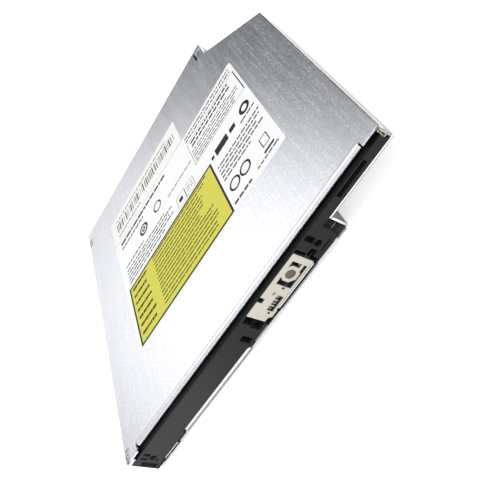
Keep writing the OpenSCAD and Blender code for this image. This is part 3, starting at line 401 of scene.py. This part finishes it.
def film(name, turn, pitch, low, high):
    """Flat cable: amber film over copper conductors that run along it, between two edges across it."""
    f = Finish(name, coat_weight=0.5, coat_roughness=0.2)
    across = f.axes(turn)[0]
    inside = across.between(low + 0.3 * MM, high - 0.3 * MM)
    lines = (across * (1 / pitch)).math("FRACT").between(0.2, 0.75, 0.04) * inside
    tint = f.blend(lines, shade(150, 84, 24), shade(206, 128, 62))
    tint = f.blend(f.noise(300) * 0.4, tint, shade(120, 62, 18))
    f.set(base_color=tint, roughness=f.noise(700) * 0.12 + 0.3)
    return f.relief(lines, 0.02 * MM, 0.5).material


def label_paper(name, tone):
    """Coated label paper: nearly even, with faint fibres and a dull shine."""
    f = Finish(name)
    fibre = f.noise(1800, 4, 0.7, (1, 0.5, 1))
    clouds = f.noise(45, 3)
    tint = f.blend(fibre * 0.35 + clouds * 0.5, tone[0], tone[1])
    f.set(base_color=tint, roughness=fibre * 0.15 + 0.42)
    return f.relief(fibre, 0.004 * MM, 0.5).material


def ink(name, tone, wear=0.06):
    """Printed colour, dull, that breaks up a little over the paper's fibres."""
    f = Finish(name, specular_ior_level=0.15)
    speckle = f.noise(4200, 3, 0.7).rise(0.5, 0.78) * wear
    tint = f.blend(speckle + f.noise(60) * wear * 0.5, tone, shade(236, 234, 228))
    f.set(base_color=tint, roughness=speckle + 0.6)
    return f.relief(speckle, 0.002 * MM, 0.4).material


LIP = (-0.0567, 0.0573)  # ends of the bent lip along the cover's front
FLANK = 0.0635  # where the cover's right flank starts
SHALLOW = 0.03  # the painted bands of the housing's deep front edge end here, and those of its shallow one start
STEP = (0.0375, 0.0381)  # the wall between the housing's deep and shallow parts

# Painted light on the cover's edges, in order: painted shade on the right flank, painted shade on the step
# right of the lip's end, and a painted highlight along the lip
cover_painted_light = [
    painted_light_band((178, 176, 170), x=(FLANK, None)),
    painted_light_band((168, 166, 158), x=(LIP[1], 0.0633), y=(None, depth(1.0)), z=(None, TOP - 0.04 * MM)),
    painted_light_band((255, 250, 230), x=LIP, y=(None, depth(0.3)), z=(None, TOP - 0.08 * MM))]
# Painted light on the housing's front edges, in order: a painted shadow under the shallow edge, painted shade
# on the deep edge's lower line, painted highlights on the front faces of the deep and the shallow edge,
# painted shade on the step wall's outer side, and a painted highlight on the step wall's front edge
housing_painted_light = [
    painted_light_band((40, 40, 38), x=(SHALLOW, None), y=(None, depth(2.2)), z=(5.5 * MM, 5.85 * MM)),
    painted_light_band((130, 130, 128), x=(None, SHALLOW), y=(None, depth(1.2)), z=(0.5 * MM, 0.85 * MM)),
    painted_light_band((252, 252, 250), x=(None, SHALLOW), y=(None, depth(1.2)), z=(0.85 * MM, 1.9 * MM)),
    painted_light_band((250, 250, 248), x=(SHALLOW, None), y=(None, depth(2.2)), z=(5.85 * MM, 6.4 * MM)),
    painted_light_band((74, 74, 70), x=(STEP[1] - 0.05 * MM, STEP[1] + 0.2 * MM), y=(depth(1.85), depth(9)),
              z=(None, 5.65 * MM)),
    painted_light_band((254, 254, 250), x=(STEP[0] - 0.1 * MM, STEP[1] + 0.1 * MM), y=(None, depth(1.85)),
              z=(None, 5.6 * MM))]
cover_metal = sheet_metal("cover_sheet_steel", (shade(205, 207, 210), shade(232, 233, 238)), 0.24,
                          grain=0.5, metal=0.96, frost=0.3, bands=cover_painted_light)
pan_metal = sheet_metal("housing_sheet_steel", (shade(146, 148, 145), shade(178, 180, 176)), 0.34,
                        grain=0.6, metal=0.75, frost=0.1, bands=housing_painted_light)
worn_metal = sheet_metal("worn_sheet_steel", (shade(150, 146, 132), shade(198, 194, 180)), 0.4, metal=0.8)
bright_metal = sheet_metal("bright_sheet_steel", (shade(166, 167, 166), shade(196, 197, 196)), 0.28,
                           grain_turn=math.pi / 2)
polished = machined("polished_steel", (shade(205, 206, 208), shade(228, 228, 230)), 0.12)
spring_steel = machined("spring_wire_steel", (shade(176, 178, 182), shade(206, 207, 210)), 0.2)
dark_steel = machined("dark_screw_steel", (shade(96, 94, 92), shade(140, 138, 134)), 0.3)
acetal = plastic("natural_acetal", (shade(222, 221, 214), shade(232, 231, 226)), 0.38, 0.3)
# The face tones are painted shade: the lit left end, the shaded right end, and the painted shadow on the rim
# and foot
black = plastic("black_moulding", (shade(44, 44, 44), shade(54, 54, 53)), 0.45,
                face=(shade(63, 63, 63), shade(38, 38, 38), shade(4, 4, 4)), shine=0.14)
pickup_black = plastic("pickup_moulding", (shade(52, 53, 56), shade(70, 70, 74)), 0.36, 0.4)
# The inside tone is painted shade in the plate's windows
cream = plastic("cream_moulding", (shade(206, 200, 186), shade(218, 213, 201)), 0.42, 0.3,
                inside=shade(66, 64, 56))
brown_button = plastic("button_moulding", (shade(88, 80, 70), shade(102, 93, 82)), 0.4, 0.3)
connector_black = plastic("connector_body", (shade(24, 24, 25), shade(36, 36, 37)), 0.34, 0.2)
connector_ivory = plastic("socket_body", (shade(226, 220, 200), shade(236, 232, 216)), 0.34, 0.2)
board = circuit_board("circuit_board_green", (shade(10, 60, 34), shade(26, 96, 54)))
dark_board = circuit_board("front_board_green", (shade(22, 34, 28), shade(38, 56, 46)))
epoxy = plastic("chip_epoxy", (shade(30, 30, 31), shade(44, 44, 45)), 0.46, 0.5, 4000)
ceramic = plastic("small_part_ceramic", (shade(176, 158, 120), shade(206, 192, 160)), 0.3, 0.1)
rubber = plastic("soft_rubber", (shade(28, 28, 28), shade(40, 40, 40)), 0.68, 0.8, 1800)
tape = plastic("coil_tape", (shade(120, 74, 38), shade(150, 98, 54)), 0.4, 0.2)
windings = machined("wound_copper", (shade(176, 96, 46), shade(210, 132, 74)), 0.26)
turned = machined("turned_aluminium", (shade(176, 177, 180), shade(206, 206, 209)), 0.2, DISC)
gold = machined("gold_contact", (shade(206, 166, 78), shade(226, 192, 110)), 0.2)
zinc = machined("bright_screw_steel", (shade(214, 214, 212), shade(234, 234, 232)), 0.22)
solder = machined("tinned_metal", (shade(186, 188, 190), shade(214, 214, 214)), 0.26)
paper = label_paper("label_paper_white", (shade(240, 240, 240), shade(248, 248, 247)))
paper_code = label_paper("label_paper_cream", (shade(238, 236, 231), shade(247, 245, 241)))
ink_black = ink("ink_black", shade(22, 22, 22))
ink_grey = ink("ink_fine_grey", shade(74, 74, 74))
ink_olive = ink("ink_fine_olive", shade(66, 66, 20), 0.02)
ink_yellow = ink("ink_yellow", shade(210, 206, 84), 0.02)
cable_film = film("flat_cable_film", 0.0, 0.5 * MM, -26 * MM, -10 * MM)
ribbon_film = film("pickup_ribbon_film", -PATH + math.pi / 2, 0.4 * MM, -9 * MM, -1 * MM)


def lens_glass():
    """Coated lens: clear glass with a bluish sheen that grows towards the rim."""
    f = Finish("lens_coated_glass", roughness=0.05, ior=1.5, transmission_weight=0.85)
    rim = f.node("LayerWeight", (), {"Blend": 0.4}, out="Facing")
    f.set(base_color=f.blend(rim + f.noise(500) * 0.1, shade(206, 222, 246), shade(120, 100, 206)))
    return f.relief(f.noise(300), 0.001 * MM, 0.2).material


glass = lens_glass()

FINISHES = {
    cover_metal: ["top_cover"],
    pan_metal: ["bottom_housing", "traverse_chassis"],
    bright_metal: ["lock_catch", "rail_left", "rail_right", "bottom_shield", "traverse_cover", "sled_motor",
                   "latch_lever"],
    polished: ["guide_rods", "solenoid_plunger"],
    zinc: ["cover_screws"],
    dark_steel: ["front_screws", "shield_screws"],
    acetal: ["guide_left", "guide_right", "push_rod", "hub_claw_1", "hub_claw_2", "hub_claw_3"],
    black: ["tray"],
    pickup_black: ["pickup", "lens_holder"],
    cream: ["front_plate"],
    brown_button: ["eject_button"],
    connector_black: ["rear_connector", "eject_switch"],
    connector_ivory: ["board_sockets"],
    board: ["main_board", "connector_board"],
    dark_board: ["front_board"],
    epoxy: ["board_chips"],
    ceramic: ["front_board_parts"],
    rubber: ["dampers", "turntable_ring"],
    tape: ["lock_solenoid"],
    windings: ["spindle_motor"],
    turned: ["turntable"],
    paper: ["rating_label"],
    paper_code: ["barcode_label"],
    glass: ["lens"],
}
for finish, names in FINISHES.items():
    for name in names:
        shown = frame["nodes"][name].data.materials
        shown.clear()
        shown.append(finish)

# Print on the labels: only plain fields, bars and rings


def flat_boxes(rects, low=LABEL - 0.02 * MM, high=LABEL + 0.01 * MM):
    """Thin closed slabs over rectangles given as left, front, right and rear in millimetres."""
    r = np.atleast_2d(np.asarray(rects, float)) * MM
    z = np.ones(len(r))
    corner_low = np.stack([r[:, 0], FRONT + r[:, 1], z * low], -1)
    corner_high = np.stack([r[:, 2], FRONT + r[:, 3], z * high], -1)
    return box_arrays(corner_low, corner_high)


def broken_row(left, right, y, height, rng, longest=3.6, gap=0.42):
    """A row of short bars of uneven lengths, from left to right at the depth y."""
    bars, x = [], left
    while x < right - 0.5:
        end = min(x + rng.uniform(0.8, longest), right)
        bars.append([x, y - height / 2, end, y + height / 2])
        x = end + gap
    return bars


def frame_lines(left, front, right, rear, width=0.2):
    """The four bars of a rectangular frame."""
    return [[left, front, right, front + width], [left, rear - width, right, rear],
            [left, front, left + width, rear], [right - width, front, right, rear]]


def label_print():
    """All print of the two labels, as one piece for each colour, placed in mm with Y as the depth."""
    rng = np.random.default_rng(7)
    margin = -41
    solid, fine, olive = [], [], []
    # Yellow panel inside its black border, its narrow column of headings and its rows in pairs
    border = [-42.5, 31.2, 16.8, 61.0]
    panel = [-41.6, 32.1, 15.9, 60.1]
    for y, end in zip((58.4, 54.6, 50.8, 47.0, 43.2, 39.4, 35.5), (12.5, 8, 8.5, 6, 11, 12, 9.5)):
        olive += broken_row(-40.3, rng.uniform(-31.5, -29), y, 1.25, rng, 3.4, 0.22)
        for step in (0.95, -0.85):
            olive += broken_row(-25, end - rng.uniform(0, 2), y + step, 0.62, rng, 4.6, 0.3)
    # Heading, note and rows to the left
    solid += broken_row(margin, -5, 88.2, 1.35, rng, 4.5, 0.45)
    fine += broken_row(margin, -23, 85.2, 0.95, rng, 2.4)
    fine += broken_row(margin, -27, 73.2, 0.85, rng, 2.4)
    for y, end in ((70.6, -12), (68.8, -7), (67.0, -9), (65.2, -7), (63.4, -14)):
        fine += broken_row(margin, end, y, 0.72, rng)
    fine += broken_row(-7, 10, 75, 0.6, rng)
    # Two framed cells and the framed box
    for cell in ((-4, 62.3, 1.6, 68), (1.6, 62.3, 7.5, 68), (11, 69.5, 43.0, 84.3)):
        fine += frame_lines(*cell)
    solid += [[42.7, 69.5, 43.1, 84.3], [-2.6, 64.2, -0.2, 66.2]]
    fine += broken_row(2.6, 6.6, 66, 0.4, rng) + broken_row(2.6, 6.6, 64.4, 0.4, rng)
    # Rows above and inside the framed box
    for y in (88.4, 86.3):
        solid += broken_row(11, 42, y, 0.75, rng, 2.6)
    for y in (82.6, 80.2):
        solid += broken_row(13, 38.5, y, 1.1, rng, 3.4, 0.45)
    for y in (77.4, 75.7, 74.0, 72.3, 70.8):
        fine += broken_row(12, rng.uniform(34, 42), y, 0.6, rng)
    # Rows on the right
    for y, end in ((54.3, 42.8), (52.3, 42), (50.3, 40), (48.3, 42), (46.3, 34)):
        fine += broken_row(18.5, end, y, 0.8, rng, 3.0)
    fine += broken_row(34.5, 42.5, 58.2, 0.8, rng) + broken_row(18, 27.5, 33.2, 1.1, rng, 3.0)
    fine += broken_row(31, 42, 33.6, 0.7, rng)
    # Plain blocks and a small frame on the right
    solid += [[20.6, 59.6, 28.0, 63.2], [29.4, 60.2, 32.6, 62.6], [18.0, 60.6, 19.6, 62.2]]
    solid += [[35.7, 34.9, 40.7, 35.9]]
    fine += frame_lines(36.2, 37.6, 40.0, 42.2, 0.4)
    # Bar field of the second label
    x = margin
    while x < 7.0:
        wide = rng.choice([0.25, 0.25, 0.5, 0.75])
        fine.append([x, 97, x + wide, 102.4])
        x += wide + rng.choice([0.3, 0.6, 0.6, 1.1])
    fine += broken_row(margin, 2, 104.4, 0.6, rng) + broken_row(margin, -22, 94.4, 0.7, rng)
    # Rings as the X and depth of the middle, inner and outer radius
    rings = [(-25, 78.5, 1.9, 2.9), (-25, 78.5, 0.5, 1.2), (-14, 79, 2.0, 2.7), (38.7, 62.2, 1.4, 2.7),
             (21.7, 40.2, 2.0, 2.8), (27.6, 40.2, 2.0, 2.8)]
    low, high = LABEL - 0.02 * MM, LABEL + 0.01 * MM
    rings = [ring_arrays(x * MM, depth(y), inner * MM, outer * MM, low, high) for x, y, inner, outer in rings]
    # Inside the panel each colour lies a little higher than the one under it
    prints = {
        "print_border": (flat_boxes(border, high=LABEL + 0.006 * MM), ink_black),
        "print_panel": (flat_boxes(panel, high=LABEL + 0.012 * MM), ink_yellow),
        "print_panel_rows": (flat_boxes(olive, high=LABEL + 0.018 * MM), ink_olive),
        "print_bold": (joined([flat_boxes(solid), *rings]), ink_black),
        "print_fine": (flat_boxes(fine), ink_grey),
    }
    for name, (shape, colour) in prints.items():
        piece(name, *shape, colour, "housing", "label_print")


label_print()

# Cables, spring and thread, in place of their plain stand-ins


def folded(front, rear_low, rear_high, low, high, turn_points=13):
    """A line forward at the height low, round half a circle and back at the height high."""
    t = np.linspace(-np.pi / 2, np.pi / 2, turn_points)
    middle, radius = (low + high) / 2, (high - low) / 2
    bend = np.stack([front - radius * np.cos(t), middle + radius * np.sin(t)], 1)
    lower = np.stack([np.linspace(rear_low, front, 40), np.full(40, low)], 1)[:-1]
    upper = np.stack([np.linspace(front, rear_high, 48), np.full(48, high)], 1)[1:]
    return np.vstack([lower, bend, upper])


def flex_cable():
    """The tray's flat cable: forward on the housing's floor, round a bend, back and up through the shield."""
    fold, middle, low, high = 34.0, -18.0, 0.68, 2.05
    run = folded(fold, 110.0, 96.9, low, high)
    run = np.vstack([run, [[96.98, 2.2], [97.0, 2.4], [97.0, 2.68]]])
    path = in_front(np.stack([np.full(len(run), middle), run[:, 0], run[:, 1]], 1))
    cable = band_arrays(path, (8 * MM, 0, 0), 0.12 * MM)
    cable = piece("flex_cable_film", *cable, cable_film, None, "flex", True)
    start = in_front([middle, fold, high])
    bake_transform(cable)
    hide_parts("flex_cable")


def pickup_ribbon():
    """The pickup's ribbon: outward under the pickup's path, round a bend and back to the pickup."""
    fold, middle, low, high = 46.0, -5.0, 2.38, 3.78
    run = folded(-fold, -14.0, -29.0, low, high) * [-1, 1]
    path = on_path(np.stack([run[:, 0], np.full(len(run), middle), run[:, 1]], 1))
    half = on_path([0, 4, 0]) - on_path([0, 0, 0])
    ribbon = band_arrays(path, half, 0.12 * MM)
    ribbon = piece("pickup_ribbon_film", *ribbon, ribbon_film, None, "flex", True)
    start = on_path([fold, middle, high])
    on_path([fold - 0.030, middle, high + 0.713])
    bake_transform(ribbon)
    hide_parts("pickup_ribbon")


def push_spring():
    """Compression spring: a round wire on a helix about Y whose pitch shrinks at both ends.

    low and high are the depths of its ends, wire and coil the radii of the wire and of its middle line."""
    low, high, wire, coil, turns = 68.6, 88.0, 0.25, 1.35, 11.0
    x, z = 32.6, 4.4
    angle = np.linspace(0, 2 * np.pi * turns, int(turns * 26))
    from_end = np.minimum(angle, angle[-1] - angle) / (2 * np.pi)
    pitch = 0.12 + np.clip((from_end - 0.9) / 0.7, 0, 1)
    run = np.concatenate([[0], np.cumsum((pitch[1:] + pitch[:-1]) / 2)])
    y = low + wire + run / run[-1] * (high - low - 2 * wire)
    path = in_front(np.stack([x + coil * np.cos(angle), y, z + coil * np.sin(angle)], 1))
    spring = tube_arrays(path, wire * MM, (0, 1, 0), 10)
    spring = piece("push_rod_spring", *spring, spring_steel, None, "steel_rod", True)
    in_front([x, low + 0.8, z])
    in_front([x, high - 0.8, z])
    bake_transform(spring)
    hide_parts("push_spring")


def lead_screw():
    """Lead screw: a shaft of 1 mm radius, less a flat-bottomed groove that goes round once in every lead."""
    lead, across, height = 3, 19.4, 4.5
    u = np.concatenate([[-3.5, -3.3, 9.6], np.linspace(10, 61, 820), [61.4, 62.8, 63]])
    t = np.linspace(0, 2 * np.pi, 36, endpoint=False)
    phase = (u[:, None] / lead + t[None] / (2 * np.pi)) % 1
    groove = np.clip((0.3 - np.abs(phase - 0.5)) / 0.08, 0, 1)
    fade = np.clip((u - 9.8) / 1.2, 0, 1) * np.clip((61.2 - u) / 1.2, 0, 1)
    radius = 1.0 - 0.2 * groove * fade[:, None]
    radius[[0, -1]] = 0.85
    along = np.broadcast_to(u[:, None], radius.shape)
    spot = np.stack([along, across + radius * np.cos(t), height + radius * np.sin(t)], -1)
    n, m = radius.shape
    faces = [list(f) for f in grid_faces(n, m, wrap_v=True)]
    faces += [list(range(m - 1, -1, -1)), [(n - 1) * m + k for k in range(m)]]
    verts = on_path(spot).reshape(-1, 3)
    screw = piece("lead_screw_thread", verts, faces, spring_steel, "lead_screw", "steel_rod", True)
    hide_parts("lead_screw")


# Small fittings on the boards, on the pickup and at the rail's end


def blocks(spans, place=in_front):
    """Closed blocks, each given by its low and its high corner in millimetres, set in their frame."""
    s = np.asarray(spans, float).reshape(-1, 6)
    verts, faces = box_arrays(s[:, :3], s[:, 3:])
    return place(verts), faces


def rail_end_hook():
    """Bent front end of the right rail: a leaning inner leg, a foot and an outer leg round a dark slot."""
    leg = np.array([[62.06, 9.4], [62.24, 9.4], [62.9, 12.3], [62.72, 12.3]])
    near, far = 0.12, 0.6
    verts = [[x, y, z] for y in (near, far) for x, z in leg]
    faces = [[0, 1, 2, 3], [7, 6, 5, 4], [1, 0, 4, 5], [2, 1, 5, 6], [3, 2, 6, 7], [0, 3, 7, 4]]
    rest = blocks([[62.06, near, 9.2, 63.3, far, 9.6], [63.02, near, 9.5, 63.5, far, 11.9]])
    hook = joined([(in_front(np.array(verts)), faces), rest])
    piece("rail_end_hook", *hook, worn_metal, "rail_right", "steel_bright")


def rear_contacts():
    """Gold contacts along both blades of the rear connector, on the upper and the lower side."""
    pitch, half, count, spans = 1.27, 0.28, 7, []
    for first in (7.3, 18.4):
        for k in range(count):
            x = first + pitch * k
            for low, high in ((4.07, 4.12), (5.18, 5.23)):
                spans.append([x - half, 120.4, low, x + half, 125.15, high])
    piece("rear_contacts", *blocks(spans), gold, "housing", "steel_bright")


# The main board's left and rear edge and its top, in mm. Chips and tall parts follow, as the distances of
# their middles from those two edges, their width and depth, and for tall parts the height.
BOARD = {"left": -59.6, "rear": 104.0, "top": 3.8}
CHIPS = [[9.6, 30, 12, 12], [26.6, 16, 9, 9], [7.6, 13, 7, 10], [41.6, 7, 8, 5], [64.6, 6, 8, 6],
         [75.6, 12, 6, 6]]
TALL_PARTS = [[19.6, 5, 5, 4, 1.6], [6.6, 40.5, 4, 5, 0.8], [75.6, 4.5, 4, 4, 1.5]]


def chip_legs():
    """Rows of flat legs along the sides of each chip, and tinned ends on the tall parts."""
    pitch, half, reach, thick = 0.65, 0.13, 0.75, 0.22
    narrow = 6.5  # a chip up to this width has legs only in front and behind
    spans, top = [], BOARD["top"]
    for left, back, wide, deep in CHIPS:
        x, y = BOARD["left"] + left, BOARD["rear"] - back
        along = np.arange(-wide / 2 + 0.6, wide / 2 - 0.3, pitch)
        across = np.arange(-deep / 2 + 0.6, deep / 2 - 0.3, pitch)
        for side in (-1, 1):
            near, far = sorted((side * deep / 2, side * (deep / 2 + reach)))
            spans += [[x + a - half, y + near, top, x + a + half, y + far, top + thick] for a in along]
            near, far = sorted((side * wide / 2, side * (wide / 2 + reach)))
            if wide > narrow:
                spans += [[x + near, y + a - half, top, x + far, y + a + half, top + thick] for a in across]
    for left, back, wide, deep, high in TALL_PARTS:
        x, y = BOARD["left"] + left, BOARD["rear"] - back
        for side in (-1, 1):
            middle = x + side * wide / 2
            spans.append([middle - 0.3, y - deep / 3, top, middle + 0.3, y + deep / 3, top + high * 0.6])
    piece("chip_legs", *blocks(spans), solder, "tray", "steel_bright")


def small_parts():
    """Small ceramic parts with tinned ends, on a grid over the free places of the main board."""
    rng = np.random.default_rng(11)
    x, y = (a.ravel() for a in np.meshgrid(np.arange(-57.5, 23, 2.1), np.arange(47, 102.6, 1.7)))
    # The parts keep clear of the traverse, by their places along and across the pickup's path, of the board's
    # slanting front edge, of the chips and tall parts, and of the ribbon's socket
    turn = np.array([math.cos(PATH), math.sin(PATH)])
    along = x * turn[0] + (y - DISC_DEPTH) * turn[1]
    across = -x * turn[1] + (y - DISC_DEPTH) * turn[0]
    free = ~((along > -27) & (across > -30) & (across < 29.2))
    free &= (y > 84) | (y > 71.5 + (x + 22) * 0.38)
    for left, back, wide, deep, *_ in CHIPS + TALL_PARTS:
        far_x, far_y = abs(x - BOARD["left"] - left), abs(y - BOARD["rear"] + back)
        free &= (far_x > wide / 2 + 2) | (far_y > deep / 2 + 1.8)
    free &= ~((x > -48) & (x < -36) & (y > 78.5) & (y < 86))
    free &= rng.random(len(x)) < 0.3
    x, y = x[free], y[free]
    half = np.where(rng.random(len(x)) < 0.5, 0.5, 0.8)
    top = np.full(len(x), BOARD["top"])
    body = [x - half + 0.2, y - half * 0.5, top, x + half - 0.2, y + half * 0.5, top + half * 0.8]
    ends = []
    for left, right in ((x - half - 0.22, x - half + 0.02), (x + half - 0.02, x + half + 0.22)):
        ends.append(np.stack([left, y - half * 0.52, top, right, y + half * 0.52, top + half * 0.83], -1))
    piece("small_parts", *blocks(np.stack(body, -1)), ceramic, "tray", "part_tan")
    piece("small_part_ends", *blocks(np.concatenate(ends)), solder, "tray", "steel_bright")


def front_part_ends():
    """Tinned ends on the parts behind the plate's window, solder beside the eject switch, and uneven pins."""
    rear = 2.49  # depth to which the ends and the solder reach back
    spans = []
    for k in range(3):
        left, front = 6.5 + 1.5 * k, 1.5 + 0.2 * k
        for low, high in ((3.77, 4.15), (5.05, 5.43)):
            spans.append([left - 0.03, front - 0.03, low, left + 1.03, rear, high])
    for x in (16.2, 22.0):
        for z in (4.6, 6.4, 8.2):
            spans.append([x - 0.3, 2.2, z - 0.25, x + 0.3, rear, z + 0.25])
    piece("front_part_ends", *blocks(spans), solder, "tray", "steel_bright")
    # Pins as their left, right, lower and upper edge
    pins = [(6.7, 7.0, 4.3, 5.3), (7.55, 8.1, 3.9, 5.4), (8.7, 9.0, 4.0, 5.2), (9.6, 10.2, 4.1, 5.5),
            (10.9, 11.2, 4.4, 5.4)]
    strokes = [[left, 0.6, low, right, 2.45, high] for left, right, low, high in pins]
    piece("window_pins", *blocks(strokes), worn_metal, "tray", "steel_bright")


def pickup_fittings():
    """On the pickup: sheet plates on both sides of the lens, screws, a small film board and the lens coil."""
    u = LENS
    plates = [[u - 7.7, -9.4, 6.48, u - 5.7, 9.4, 6.66], [u + 5.7, -9.4, 6.48, u + 7.7, 9.4, 6.66]]
    piece("pickup_plates", *blocks(plates, on_path), bright_metal, "pickup", "steel_bright")
    heads = [ring_arrays(u + a, b, 0.3, 0.8, 6.6, 6.86, 24) for a in (-6.7, 6.7) for b in (-8.2, 8.2)]
    verts, faces = joined(heads)
    piece("pickup_screws", on_path(verts), faces, dark_steel, "pickup", "screw_steel")
    film_board = blocks([[u - 5.2, 6.2, 6.48, u + 5.2, 10.6, 6.56]], on_path)
    piece("pickup_film", *film_board, tape, "pickup", "flex")
    dots = [[u - 4.6 + 0.9 * k, 9.6, 6.5, u - 4.1 + 0.9 * k, 10.2, 6.64] for k in range(11)]
    piece("pickup_solder", *blocks(dots, on_path), solder, "pickup", "steel_bright")
    # The coil's outer and inner half size along the path and across it
    along, inner_along = 4.43, 4.22
    across, inner_across = 4.83, 4.62
    low, high = 4.9, 6.1
    coil = [[u - along, -across, low, u + along, -inner_across, high],
            [u - along, inner_across, low, u + along, across, high],
            [u - along, -inner_across, low, u - inner_along, inner_across, high],
            [u + inner_along, -inner_across, low, u + along, inner_across, high]]
    piece("lens_coil", *blocks(coil, on_path), windings, "lens_holder", "copper")


flex_cable()
pickup_ribbon()
push_spring()
lead_screw()
rail_end_hook()
rear_contacts()
chip_legs()
small_parts()
front_part_ends()
pickup_fittings()

# Floor, light and camera


def floor():
    """Plain pale floor: diffuse, with light of its own for the camera, for reflections and through glass."""
    f = Finish("studio_floor", roughness=0.9)
    f.set(base_color=f.blend(f.noise(3, 2) * 0.3, shade(246, 246, 246), shade(250, 250, 250)))
    seen = f.node("LightPath", out="Is Camera Ray") + f.node("LightPath", out="Is Glossy Ray")
    seen = seen + f.node("LightPath", out="Is Transmission Ray")
    glow = f.node("Emission", (), {"Color": (1, 1, 1, 1), "Strength": 0.5})
    surface = f.node("AddShader", (), {0: Value(f, f.shader.outputs[0]), 1: glow})
    mixed = f.node("MixShader", (), {0: seen, 1: Value(f, f.shader.outputs[0]), 2: surface})
    f.tree.links.new(mixed.socket, f.tree.nodes["Material Output"].inputs["Surface"])
    size, height = 6.0, -0.02 * MM
    verts = [[x, y, height] for x, y in ((-size, -size), (size, -size), (size, size), (-size, size))]
    made = piece("floor", verts, [[0, 1, 2, 3]], f.material, None, "label_print")


def world():
    """A dim room with a soft window to the rear left and a pale front, plain white to the camera."""
    sky = bpy.data.worlds.new("studio")
    bpy.context.scene.world = sky
    sky.use_nodes = True
    f = Nodes(sky.node_tree)
    way = f.node("TexCoord", out="Generated")

    def towards(direction):
        """1 straight in that direction, 0 at a right angle to it and -1 behind."""
        unit = tuple(Vector(direction).normalized())
        return f.node("VectorMath", {"operation": "DOT_PRODUCT"}, {0: way, 1: unit}, out="Value")

    window = towards((-0.45, 0.69, 0.57)).rise(0.929, 0.982)
    front = towards((-0.1, -0.85, 0.5)).rise(-0.35, 0.35)
    dim, pale, bright = (0.045, 0.054, 0.059, 1), (0.86, 0.87, 0.88, 1), (1.6, 1.6, 1.63, 1)
    room = f.blend(window, f.blend(front, dim, pale), bright)
    light = f.node("Background", (), {"Color": room, "Strength": 1.0})
    white = f.node("Background", (), {"Color": (1, 1, 1, 1), "Strength": 1.0})
    seen = f.node("LightPath", out="Is Camera Ray")
    mixed = f.node("MixShader", (), {0: seen, 1: light, 2: white})
    f.tree.links.new(mixed.socket, f.tree.nodes["World Output"].inputs["Surface"])


def lamp(name, spot, aim, size, power):
    """A square lamp of the given side, facing a point."""
    light = bpy.data.lights.new(name, "AREA")
    light.shape, light.size, light.energy = "SQUARE", size, power
    made = bpy.data.objects.new(name, light)
    bpy.context.scene.collection.objects.link(made)
    made.location = spot
    made.rotation_euler = (Vector(aim) - Vector(spot)).to_track_quat("-Z", "Y").to_euler()


def camera():
    """The photograph's view, solved from the drive's known corners."""
    eye = Vector((0.07863, -0.17579, 0.1031))
    ahead = Vector((-0.3784, 0.7519, -0.5399)).normalized()
    up = Vector((0.7538, 0.5888, 0.2918))
    right = ahead.cross(up).normalized()
    up = right.cross(ahead)
    lens = bpy.data.cameras.new("camera")
    lens.lens, lens.sensor_width, lens.clip_start = 43.13, 36.0, 0.005
    made = bpy.data.objects.new("camera", lens)
    bpy.context.scene.collection.objects.link(made)
    turn = Matrix((right, up, -ahead)).transposed()
    made.matrix_world = Matrix.Translation(eye) @ turn.to_4x4()
    bpy.context.scene.camera = made


floor()
world()
lamp("key", (-0.1, 0.1, 0.8), (0, 0, 0), 0.7, 2.6)
lamp("fill", (0.45, -0.5, 0.3), (0, 0, 0), 0.5, 0.8)
camera()
bpy.context.scene.view_settings.view_transform = "Standard"
